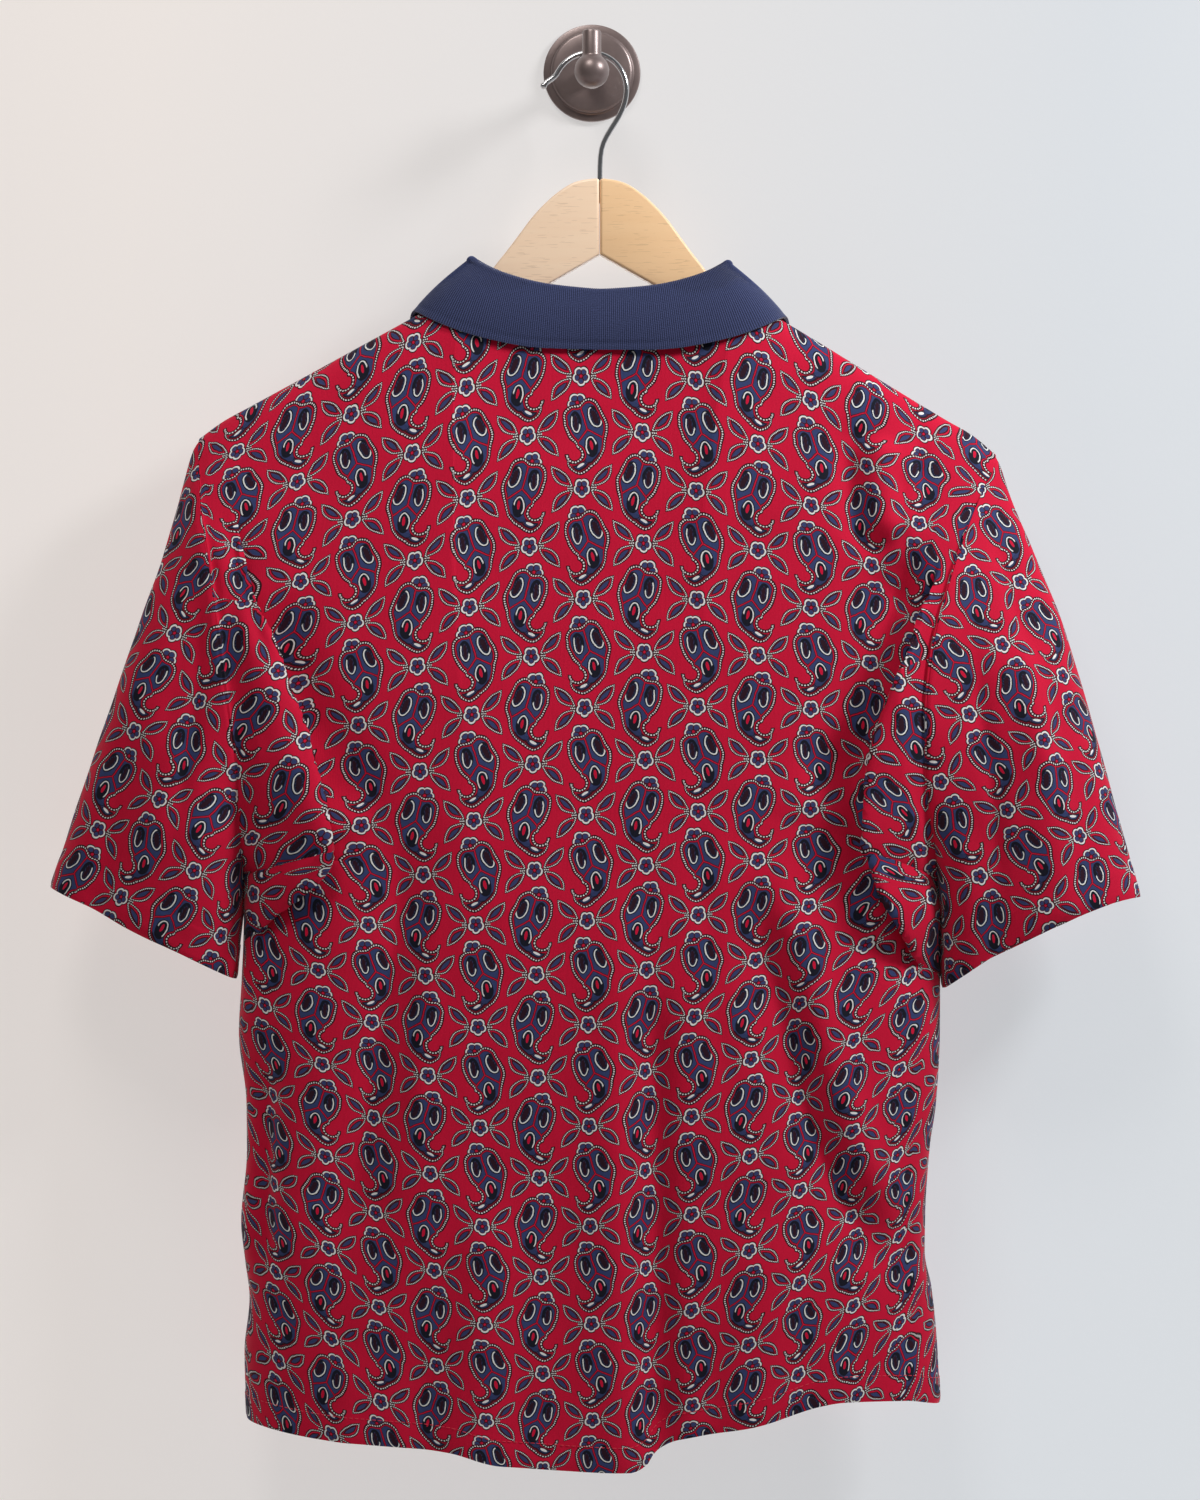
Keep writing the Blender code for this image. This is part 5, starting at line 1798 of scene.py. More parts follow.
    def build(self, jersey: Sequence[Material]) -> Object:
        """Make the sleeve.

        Args:
            jersey: materials of its two sides.

        Returns:
            The piece.
        """
        angle, along = self.grid()
        inner = self.points(angle, along)
        wrapped = np.concatenate((inner[:, -1:], inner, inner[:, :1]), axis=1)
        normal = outward(wrapped)[:, 1:-1]
        thickness = CLOTH + hem_relief(inner, self.hem_depth, self.hem_ridge)
        outer = inner + self.side * normal * thickness[..., None]
        name = "sleeve_" + self.side.word
        mesh = cloth_mesh(name + "_cloth", inner, outer, self.cloth_uv(inner, angle), True,
                          self.side == Side.LEFT)
        return link(name + "_cloth", mesh, jersey, name)


@dataclass
class Collar:
    """Flat-knitted rib collar, folded over."""

    cut: ShirtCut
    ribs: int = 400
    rib_height: float = 0.00028
    roll: float = 0.0031
    belly: float = 0.0022
    stand_rows: int = 14
    roll_rows: int = 9
    fall_rows: int = 26
    selvedge: float = 0.0042
    tuck: float = 0.0085
    tuck_width: float = 0.085

    def line(self, name: str, shares: Array) -> Array:
        """One of the collar's lines, from the left point round the neck to the right point.

        Args:
            name: seam, fold or edge.
            shares: places along it, from -1 to 1.

        Returns:
            Its points.
        """
        left = np.stack(self.cut.collar_line(name, Side.LEFT, np.abs(shares)), axis=-1)
        right = np.stack(self.cut.collar_line(name, Side.RIGHT, np.abs(shares)), axis=-1)
        return np.where((shares < 0.0)[:, None], left, right)

    def points(self) -> tuple[Array, Array]:
        """Shown face of the collar.

        Returns:
            Points from the stand's seam over the fold to the free edge, and the distance
            from the seam along each column.
        """
        rough = np.linspace(-1.0, 1.0, 4001)
        length = walk(gaps(self.line("fold", rough)) + gaps(self.line("edge", rough)))
        shares = np.interp(np.linspace(0.0, length[-1], 2 * self.ribs + 1), length, rough)
        seam, fold, edge = (self.line(name, shares) for name in ("seam", "fold", "edge"))
        behind = smooth((-0.045 - edge[:, 1]) / 0.012) * bell(edge[:, 0], self.tuck_width)
        edge = edge + self.tuck * behind[:, None] * np.array((0.0, 1.0, 0.0))
        onwards = np.gradient(fold, axis=0)
        sideways = unit(np.cross(onwards, (0.0, 0.0, 1.0)))
        up = unit(np.cross(sideways, onwards))
        rows = []
        stand_top = fold - self.roll * sideways - self.roll * up
        fall_top = fold + self.roll * sideways - self.roll * up
        for step in np.linspace(0.0, 1.0, self.stand_rows + 1):
            rows.append(seam + (stand_top - seam) * step)
        for angle in np.linspace(0.0, math.pi, self.roll_rows + 2)[1:-1]:
            over = math.cos(angle) * sideways + (1.0 - math.sin(angle)) * up
            rows.append(fold - self.roll * over)
        for step in np.linspace(0.0, 1.0, self.fall_rows + 1):
            belly = self.belly * math.sin(math.pi * step)
            rows.append(fall_top + (edge - fall_top) * step + belly * sideways)
        grid = eased(eased(np.stack(rows, axis=0), 17), 17)
        return grid, walk(gaps(grid))

    def build(self, material: Material) -> Object:
        """Make the collar.

        Args:
            material: its finish.

        Returns:
            The piece.
        """
        face, walked = self.points()
        rows, columns = face.shape[:2]
        normal = evened(outward(face), 9)
        spacing = np.linalg.norm(np.gradient(face, axis=1), axis=-1)
        room = smooth((spacing - 0.00015) / 0.0003)
        crest = np.where(np.arange(columns) % 2 == 0, 1.0, -1.0)[None, :]
        to_edge = walked[-1:] - walked
        groove = 0.0005 * bell(to_edge - self.selvedge, 0.0007)
        lift = 0.5 * self.rib_height * room * crest * np.where(to_edge < self.selvedge - 0.0004, 0.45, 1.0)
        outer = face - normal * (lift - groove)[..., None]
        inner = face + normal * RIB_CLOTH
        rib = np.arange(columns)[None, :] / 2.0 + np.zeros((rows, 1))
        uv = np.stack((rib, walked), axis=-1)
        mesh = cloth_mesh("collar_rib", inner, outer, uv, False, True)
        return link("collar_rib", mesh, (material, material), "collar")


# ---- folds of the cloth

BACK_FOLDS = folds(
    (12, 18, 50, -220, -319, -209.5, -356, -198, -399, -177, -445, -160.5, -482, -166, -509, -187, -533,
     -211, -556),
    (-8, 20, 18, -204, -332, -188, -378, -170, -422, -150, -464, -140, -500),
    (-5, 13, 12, -234, -320, -225, -370, -214, -440),
    (12.5, 50, 15, 221, -311, 200, -352, 188, -390, 174, -421, 165.5, -455, 165, -492, 175, -532, 196, -556,
     216, -575),
    (-12, 15, 22, 205, -306, 188, -336, 174, -380, 157, -430, 147, -478),
    (-7.5, 14, 20, 95, -510, 116, -578, 129, -633, 147, -689, 166, -726, 190, -775),
    (6, 14, 16, 108, -498, 133, -580, 148, -635, 168, -690, 190, -745),
    (6, 13, 13, 181, -236, 181, -270, 187, -310),
    (-5, 10, 10, 170, -218, 160, -251, 165, -294, 182, -322),
    (-6.5, 24, 22, -112, -467, -118, -559, -131, -621, -143, -683, -155, -775),
    (-6, 10, 12, -204, -620, -206, -700, -203, -770),
    (5, 14, 22, 18, -500, 18, -700, 17, -920),
    (-8.5, 12, 16, 37, -560, 39, -720, 46, -920),
    (5, 20, 20, -60, -700, -66, -800, -70, -920),
    (4.5, 22, 22, 110, -720, 104, -800, 100, -900),
)
FRONT_FOLDS = folds(
    (4, 26, 18, -195, -360, -165, -430, -140, -500, -128, -580),
    (-6, 14, 20, -170, -350, -140, -420, -118, -500),
    (-6, 18, 14, 165, -350, 140, -430, 120, -500),
    (3.5, 20, 24, 190, -370, 160, -450, 146, -530),
    (-7, 22, 22, -60, -500, -72, -650, -85, -900),
    (-7, 20, 24, 80, -520, 88, -680, 100, -900),
    (3.5, 20, 20, 10, -560, 6, -720, 4, -900),
)
SLEEVE_FOLDS = {
    Side.LEFT: (
        (-0.005, 118.0, 88.0, 14.0, 0.1, 1.05),
        (0.0035, 70.0, 62.0, 14.0, 0.15, 1.05),
        (-0.0045, -105.0, -85.0, 14.0, 0.2, 1.05),
    ),
    Side.RIGHT: (
        (-0.005, 66.0, 84.0, 14.0, 0.1, 1.05),
        (0.0035, 112.0, 118.0, 14.0, 0.2, 1.05),
        (-0.0045, -80.0, -98.0, 14.0, 0.2, 1.05),
    ),
}

LAPS = {
    Side.LEFT: Lap(0.006, 0.008, 0.024, 0.005, 0.0015, 0.0085, path_of(
        -225.1, -283.7, -217.8, -310.6, -213.8, -328.7, -209.5, -344.9, -203.5, -356.1, -197.9, -366.1,
        -193.2, -377.3, -186.4, -400.4, -182, -408.5, -175.8, -423.5, -172, -441, -164.5, -462.2, -162,
        -474.7, -158.3, -492.2, -156.4, -504.6, -159.5, -512.1, -167, -520.9, -178.3, -529.6, -190.7,
        -537.1, -205.7, -547.1, -219.4, -557.7
    )),
    Side.RIGHT: Lap(0.0064, 0.011, 0.03, 0.005, 0.0015, 0.01, path_of(
        218.6, -313.8, 211.7, -337.1, 204.8, -353, 198.6, -376.1, 190.5, -391.3, 173.7, -429.7, 168.7,
        -454.7, 166.2, -482.2, 165.6, -494.7, 167.4, -508.4, 174.3, -530.9, 182.3, -542.1, 189.9, -554,
        198.6, -565.2, 213.6, -575.2
    )),
}
LAP_PRINT_EDGES = {
    Side.LEFT: ((-0.24, -0.34), (-0.2195, -0.3455), (-0.2082, -0.344)) + LAPS[Side.LEFT].path[4:],
    Side.RIGHT: ((0.218, -0.374), (0.203, -0.3842)) + LAPS[Side.RIGHT].path[4:],
}

BACK_CREASES = folds(
    # beside the left armhole
    (-3, 4, 5, -229, -285, -221, -325, -209, -362, -194, -397),
    (1.8, 6, 5, -216, -290, -206, -330, -192, -372),
    (-2.2, 4, 6, -194, -397, -177, -440, -163, -474, -158, -500),
    # below the left underarm
    (-3, 5, 5, -158, -498, -176, -520, -196, -540, -214, -562),
    (2, 6, 5, -206, -560, -214, -574, -216, -590),
    # beside the right armhole
    (-3.2, 5, 5, 212, -300, 196, -324, 184, -352, 174, -388),
    (-2.6, 4, 5, 174, -388, 166, -420, 158, -452, 156, -486, 164, -520, 178, -546, 204, -570),
    # puckers below the right shoulder
    (-2.4, 4, 4, 204, -222, 206, -252, 210, -278),
    (-1.8, 4, 5, 196, -256, 193, -290, 196, -318),
    # long soft ones
    (-1.8, 7, 6, -118, -480, -124, -560, -138, -640, -150, -720),
    (1.4, 8, 8, -96, -500, -102, -600, -112, -700),
    (-2, 6, 8, 104, -520, 122, -590, 136, -650, 156, -710, 182, -770),
    (-1.2, 8, 8, 60, -470, 74, -560, 82, -660),
    (-1.6, 6, 6, -208, -640, -207, -700, -210, -760),
    (1.4, 6, 6, 206, -700, 200, -740, 204, -790),
    # at the hem
    (1.6, 10, 10, -150, -800, -152, -840, -154, -900),
    (-1.4, 10, 10, -105, -790, -104, -840, -100, -900),
    (-2, 6, 6, 34, -780, 36, -840, 38, -900),
    (-1.2, 10, 10, 76, -780, 74, -820, 72, -900),
    (1.4, 12, 12, 150, -790, 146, -830, 144, -900),
)
FRONT_CREASES = folds(
    (-2.4, 5, 6, -205, -330, -190, -380, -168, -430, -150, -480),
    (-2.4, 6, 5, 196, -330, 178, -385, 158, -440, 140, -490),
    (-1.6, 7, 7, -110, -520, -120, -620, -134, -740),
    (1.4, 8, 8, 46, -500, 50, -640, 56, -800),
    (-1.6, 7, 7, 128, -520, 140, -640, 156, -770),
    (1.4, 10, 10, -36, -740, -40, -820, -42, -900),
)
SLEEVE_BACK_CREASES = {
    Side.LEFT: folds(
        (-2.6, 6, 6, -238, -330, -242, -380, -250, -440, -262, -500),
        (2, 8, 8, -256, -330, -266, -400, -282, -470),
        (-1.6, 6, 7, -284, -410, -296, -460, -306, -510),
        (1.8, 10, 10, -236, -470, -246, -520, -256, -560),
    ),
    Side.RIGHT: folds(
        (-2.6, 6, 6, 236, -360, 240, -410, 250, -470, 254, -540),
        (2, 8, 8, 262, -340, 274, -410, 286, -480),
        (-1.8, 6, 6, 250, -290, 262, -340, 276, -390),
        (1.8, 10, 10, 232, -480, 236, -530, 240, -570),
    ),
}
SLEEVE_FRONT_CREASES = {
    Side.LEFT: folds(
        (-2.4, 7, 7, -244, -340, -256, -420, -270, -500),
        (1.8, 8, 8, -262, -350, -280, -430, -296, -510),
    ),
    Side.RIGHT: folds(
        (-2.4, 7, 7, 248, -340, 256, -420, 268, -500),
        (1.8, 8, 8, 266, -350, 284, -430, 298, -510),
    ),
}


# ---- placket, buttons, hem stitches

@dataclass
class Placket:
    """Strip over the front opening, with its buttons."""

    panel: BodyPanel
    width: float = 0.033
    top: float = 0.005
    bottom: float = 0.24
    columns: int = 12
    button_shares: tuple[float, ...] = (0.03, 0.11, 0.19)
    button_radius: float = 0.0055
    button_thickness: float = 0.0024
    hole_radius: float = 0.00062
    hole_share: float = 0.26
    thread_radius: float = 0.00028

    def strip(self) -> tuple[Array, Array, Array]:
        """The placket's reverse side.

        Returns:
            Points, outward normals, and the rows' shares down the panel.
        """
        across, down = self.panel.shares()
        points = self.panel.draped(across, down)
        normals = outward(points)
        rows = down[:, 0]
        covered = (rows >= self.top) & (rows <= self.bottom)
        places = np.linspace(CENTRE_X - self.width / 2.0, CENTRE_X + self.width / 2.0, self.columns + 1)

        def at_places(values: Array) -> Array:
            """Values of the panel at the strip's columns."""
            rows = zip(points[covered], values[covered])
            return np.array([read_line(places, row[:, 0], line) for row, line in rows])

        normal = at_places(normals)
        return at_places(points) + normal * (CLOTH + SEAM_GAP), normal, rows[covered]

    def build(self, jersey: Sequence[Material]) -> Object:
        """Make the strip.

        Args:
            jersey: materials of its two sides.

        Returns:
            The piece.
        """
        inner, normal, _ = self.strip()
        sides = np.abs(np.linspace(-1.0, 1.0, self.columns + 1))[None, :]
        stitched = 0.0004 * bell(sides - 0.84, 0.05)
        outer = inner + normal * (PLACKET_CLOTH - stitched)[..., None]
        uv = np.stack((inner[..., 0] - CENTRE_X + 0.018, inner[..., 2]), axis=-1)
        mesh = cloth_mesh("placket_cloth", inner, outer, uv, False, False)
        return link("placket_cloth", mesh, jersey, "placket")

    def button_mesh(self) -> Mesh:
        """Four-hole button with a sunk middle, about its own Z axis.

        Returns:
            The mesh.
        """
        radius, thick = self.button_radius, self.button_thickness
        profile = (
            (radius * 0.88, 0.0), (radius * 0.96, thick * 0.1), (radius, thick * 0.3),
            (radius, thick * 0.7), (radius * 0.97, thick * 0.9), (radius * 0.9, thick),
            (radius * 0.78, thick), (radius * 0.7, thick * 0.88), (radius * 0.6, thick * 0.8),
            (radius * 0.3, thick * 0.78),
        )
        disc = scene_object("disc", round_mesh("disc", turned_rings(profile, 40)))
        drills = []
        for step in range(4):
            turn = math.pi / 4.0 + step * math.pi / 2.0
            hole = turned_rings(((self.hole_radius, -0.001), (self.hole_radius, thick + 0.001)), 16)
            hole = hole + np.array((math.cos(turn), math.sin(turn), 0.0)) * radius * self.hole_share
            drills.append(scene_object("drill", round_mesh("drill", hole)))
            cut = disc.modifiers.new("hole", "BOOLEAN")
            cut.operation = "DIFFERENCE"
            cut.object = drills[-1]
        mesh = applied(disc).data
        for spare in (disc, *drills):
            bpy.data.objects.remove(spare)
        return mesh

    def sew_buttons(self, plastic: Material, thread: Material) -> list[Object]:
        """Make the buttons and the threads that hold them.

        Args:
            plastic: material of the buttons.
            thread: material of the threads.

        Returns:
            The pieces.
        """
        strip, normals, rows = self.strip()
        pieces = []
        middle = self.columns // 2
        for number, share in enumerate(self.button_shares, start=1):
            row = int(np.argmin(np.abs(rows - share)))
            normal = Vector(normals[row, middle])
            place = Vector(strip[row, middle]) + normal * (PLACKET_CLOTH + 2.0 * SEAM_GAP)
            stand = Matrix.Translation(place) @ normal.to_track_quat("Z", "Y").to_matrix().to_4x4()
            mesh = self.button_mesh()
            mesh.transform(stand)
            pieces.append(link(f"button_{number}_disc", mesh, (plastic,), f"button_{number}"))
            reach = self.button_radius * self.hole_share * math.sqrt(0.5)
            for number_of_thread, side in enumerate((-1.0, 1.0), start=1):
                line = reach * np.array([(-1.0, side, 0.0), (-1.0, side, 0.0), (0.0, side * 0.9, 0.0),
                                         (1.0, side, 0.0), (1.0, side, 0.0)])
                line[:, 2] = (0.0006, 0.002, 0.0024, 0.002, 0.0006)
                rings = tube_rings(line, np.full(5, self.thread_radius), 6, np.array((0.0, 1.0, 0.0)))
                name = f"button_{number}_thread_{number_of_thread}"
                loop = round_mesh(name, rings)
                loop.transform(stand)
                pieces.append(link(name, loop, (thread,)))
        return pieces


def rings_round(line: Array, radii: Array, sides: int, first: Array, second: Array) -> Array:
    """Rings round the points of a line.

    Args:
        line: the points.
        radii: radius at each point.
        sides: points a ring.
        first, second: directions across the line at each point.

    Returns:
        The rings' points.
    """
    turn = np.linspace(0.0, 2.0 * math.pi, sides, endpoint=False)[None, :, None]
    return line[:, None] + radii[:, None, None] * (
        np.cos(turn) * first[:, None] + np.sin(turn) * second[:, None]
    )


def tube_rings(line: Array, radii: Array, sides: int, across: Array) -> Array:
    """Rings of a round bar along a line.

    Args:
        line: points of its middle.
        radii: radius at each point.
        sides: points a ring.
        across: a direction that the line never takes.

    Returns:
        The rings' points.
    """
    onwards = unit(np.gradient(line, axis=0))
    first = unit(np.cross(onwards, across))
    return rings_round(line, radii, sides, first, np.cross(onwards, first))


@dataclass
class StitchRow:
    """Row of short straight stitches that lies on a piece of cloth."""

    length: float = 0.0026
    pitch: float = 0.0036
    radius: float = 0.00026
    sink: float = 0.00008
    sides: int = 6

    # place along a stitch in its lengths, lift and radius in its radii
    SHAPE = ((-0.5, -0.7, 0.55), (-0.36, 0.25, 0.9), (0.0, 0.55, 1.0), (0.36, 0.25, 0.9), (0.5, -0.7, 0.55))

    def build(self, name: str, line: Array, normals: Array,
              material: Material) -> Object:
        """Make the stitches.

        Args:
            name: piece name.
            line: points on the cloth's surface.
            normals: outward normals there.
            material: thread.

        Returns:
            The piece.
        """
        walked = walk(gaps(line))
        share, lift, width = np.array(self.SHAPE).T
        points, quads = [], []
        for start in np.arange(self.pitch / 2.0, walked[-1], self.pitch):
            at = np.clip(start + share * self.length, 0.0, walked[-1])
            normal = read_line(at, walked, normals)
            middle = read_line(at, walked, line) + normal * (lift * self.radius - self.sink)[:, None]
            across = np.cross(unit(np.gradient(middle, axis=0)), normal)
            ring = rings_round(middle, self.radius * width, self.sides, across, normal)
            base = len(points) * len(share) * self.sides
            points.append(ring.reshape(-1, 3))
            for low in range(base, base + (len(share) - 1) * self.sides, self.sides):
                high = low + self.sides
                for side in range(self.sides):
                    after = (side + 1) % self.sides
                    quads.append((low + side, high + side, high + after, low + after))
            last = base + (len(share) - 1) * self.sides
            quads += [(base, base + 1, base + 2, base + 3), (base, base + 3, base + 4, base + 5),
                      (last + 3, last + 2, last + 1, last), (last + 5, last + 4, last + 3, last)]
        return link(name, quad_mesh(name, np.concatenate(points), np.array(quads)), (material,))


# ---- hanger and its wire

@dataclass
class HangerHalf:
    """One mitred half of the wooden hanger."""

    cut: ShirtCut
    side: Side
    thickness: float = 0.011
    notch_z: float = -0.1227
    notch_slope: float = 0.5625
    reach: float = 0.218
    edge: float = 0.0028
    below_seam: float = 0.0012
    end_steps: int = 14

    CROWN = Table(
        "out z",
        (-0.01, -0.0746), (0, -0.0746), (0.008, -0.0752), (0.0153, -0.0768), (0.0253, -0.0825),
        (0.0354, -0.0912), (0.043, -0.0995), (0.0505, -0.1095), (0.0582, -0.1197), (0.0664, -0.13),
        (0.073, -0.1395), (0.081, -0.15), (0.093, -0.1585),
    )

    def outline(self) -> list[tuple[float, float]]:
        """x and z of the half's edge, from the mitre over the crown and the arm's end.

        Returns:
            The edge's points.
        """
        tilt = RIGHT_TILT if self.side == Side.RIGHT else 0.0
        crown = np.linspace(SEAM_GAP / 2.0, 0.093, 48)
        heights = self.CROWN.read("z", crown) - tilt * crown
        points = [(CENTRE_X + self.side * out, float(z)) for out, z in zip(crown, heights)]
        for share in (0.6, 0.5, 0.4, 0.32, 0.25):
            x, z = self.cut.shoulder(self.side, np.array([share]))
            points.append((float(x[0]), float(z[0]) - self.below_seam))
        end_x = CENTRE_X + self.side * self.reach
        ends = self.cut.SHOULDER.columns[self.side.word + "_x"]
        end_share = (end_x - ends[0]) / (ends[-1] - ends[0])
        top_z = float(self.cut.shoulder(self.side, np.array([end_share]))[1][0]) - self.below_seam
        low_z = self.notch_z - self.notch_slope * self.reach
        slope = math.atan(self.notch_slope)
        radius = (top_z - low_z) / 2.0 * math.cos(slope)
        for step in range(self.end_steps + 1):
            turn = math.pi / 2.0 - slope - math.pi * step / self.end_steps
            points.append((
                end_x + self.side * radius * (math.cos(turn) - math.sin(slope)),
                (top_z + low_z) / 2.0 + radius * math.sin(turn),
            ))
        points.append((CENTRE_X + self.side * SEAM_GAP / 2.0, self.notch_z))
        return points

    def build(self, material: Material) -> Object:
        """Make the half.

        Args:
            material: its finish.

        Returns:
            The piece.
        """
        outline = self.outline()
        count = len(outline)
        depth = self.thickness / 2.0
        points = [(x, HANG_Y - depth, z) for x, z in outline] + [(x, HANG_Y + depth, z) for x, z in outline]
        front, rear = list(range(count)), list(range(count, 2 * count))
        faces = [front, rear[::-1]]
        for here in range(count):
            after = (here + 1) % count
            faces.append([front[after], front[here], rear[here], rear[after]])
        if self.side == Side.RIGHT:
            faces = [face[::-1] for face in faces]
        mesh = bpy.data.meshes.new("hanger_half")
        mesh.from_pydata(points, [], [face[::-1] for face in faces])
        mesh.update()
        name = "hanger_" + self.side.word
        piece = link(name + "_wood", mesh, (material,), name)
        rounding = piece.modifiers.new("rounding", "BEVEL")
        rounding.width = self.edge
        rounding.segments = 4
        rounding.limit_method = "ANGLE"
        rounding.angle_limit = math.radians(62.0)
        applied(piece)
        piece.data.shade_smooth()
        piece.data.set_sharp_from_angle(angle=math.radians(35.0))
        return piece


@dataclass
class HookWire:
    """Bent wire hook of the hanger, with a small ball at its tip."""

    radius: float = 0.00175
    bend: float = 0.0231
    bend_x: float = -0.0011
    bend_z: float = -0.0176
    ball: float = 0.0024
    sides: int = 28

    TIP: Path = ((-0.0303, -0.0153), (-0.0296, -0.0144), (-0.0286, -0.0132), (-0.0272, -0.0122),
                 (-0.0256, -0.0114))
    STEM: Path = ((0.0213, -0.0258), (0.0196, -0.0305), (0.0174, -0.0349), (0.0145, -0.0395),
                  (0.0113, -0.0441), (0.0087, -0.0482), (0.007, -0.0518), (0.0059, -0.0556),
                  (0.0054, -0.059), (0.005, -0.066), (0.005, -0.075), (0.005, -0.09))

    def route(self) -> Array:
        """Middle of the wire, from its tip to its foot.

        Returns:
            Its points.
        """
        points = list(self.TIP)
        for step in range(41):
            turn = math.radians(160.0 - step * 4.2)
            x, z = self.bend * math.cos(turn), self.bend * math.sin(turn)
            points.append((self.bend_x + x, self.bend_z + z))
        points += self.STEM
        flat = np.array(points)
        for _ in range(2):
            flat[1:-1] = 0.25 * flat[:-2] + 0.5 * flat[1:-1] + 0.25 * flat[2:]
        return np.stack((flat[:, 0], np.full(len(flat), HANG_Y), flat[:, 1]), axis=-1)

    def build(self, material: Material) -> Object:
        """Make the wire.

        Args:
            material: its finish.

        Returns:
            The piece.
        """
        line = self.route()
        start = line[0]
        away = (line[0] - line[1]) / np.linalg.norm(line[0] - line[1])
        bead = [start + away * self.ball * step for step in (0.98, 0.85, 0.55, 0.15)]
        bead_radius = [self.ball * size for size in (0.2, 0.55, 0.86, 1.0)]
        line = np.concatenate((np.array(bead), line))
        radii = np.concatenate((bead_radius, np.full(len(line) - 4, self.radius)))
        radii[4] = self.ball * 0.95
        rings = tube_rings(line, radii, self.sides, np.array((0.0, 1.0, 0.0)))
        mesh = round_mesh("hanger_hook_wire", rings)
        mesh.flip_normals()
        return link("hanger_hook_wire", mesh, (material,), "hanger_hook")


@dataclass
class WallHook:
    """Round stepped plate with an arm, a ball and an upright peg."""

    plate_radius: float = 0.03125
    plate_rim: float = 0.003
    step_radius: float = 0.0262
    plate_height: float = 0.008
    arm_radius: float = 0.0055
    arm_z: float = -0.0023
    knob_y: float = -0.06
    ball_radius: float = 0.011
    ball_z: float = -0.0093
    peg_radius: float = 0.006
    peg_top: float = 0.0165
    sides: int = 96

    def build(self, material: Material) -> list[Object]:
        """Make the plate, the arm and the knob.

        Args:
            material: their finish.

        Returns:
            The pieces.
        """
        step, rim, height, edge = self.step_radius, self.plate_rim, self.plate_height, self.plate_radius
        plate = (
            (edge, 0.0), (edge, rim - 0.0009), (edge - 0.0003, rim - 0.0003), (edge - 0.001, rim),
            (step + 0.001, rim + 0.0003), (step + 0.0004, rim + 0.0008), (step + 0.0002, height - 0.003),
            (step - 0.0001, height - 0.0018), (step - 0.0008, height - 0.0011),
            (step - 0.002, height - 0.0007), (0.018, height - 0.0003), (0.01, height),
        )
        plate_rings = towards_viewer(turned_rings(plate, self.sides))

        near = -self.plate_height - SEAM_GAP
        far = self.knob_y + self.peg_radius + SEAM_GAP
        length = near - far
        arm, bevel = self.arm_radius, 0.0008
        arm = ((arm, 0.0), (arm, length - bevel), (arm - bevel, length))
        arm_rings = towards_viewer(turned_rings(arm, self.sides // 2)) + np.array((0.0, near, self.arm_z))

        join = math.asin(self.peg_radius / self.ball_radius)
        profile = []
        for turn in np.linspace(math.pi - 0.05, join + 0.06, 22):
            out, up = self.ball_radius * math.sin(turn), self.ball_radius * math.cos(turn)
            profile.append((out, self.ball_z + up))
        collar_z = self.ball_z + self.ball_radius * math.cos(join)
        profile += [
            (self.peg_radius + 0.0001, collar_z + 0.0003), (self.peg_radius, collar_z + 0.0012),
            (self.peg_radius, self.peg_top - 0.002), (self.peg_radius - 0.0004, self.peg_top - 0.0009),
            (self.peg_radius - 0.0012, self.peg_top - 0.0003), (self.peg_radius - 0.0024, self.peg_top),
        ]
        knob_rings = turned_rings(profile, self.sides // 2) + np.array((0.0, self.knob_y, 0.0))
        pieces = []
        for node, rings in (("wall_plate", plate_rings), ("wall_arm", arm_rings), ("wall_knob", knob_rings)):
            mesh = round_mesh(node + "_turned", rings, 32.0)
            pieces.append(link(node + "_turned", mesh, (material,), node))
        return pieces

# ---- picture

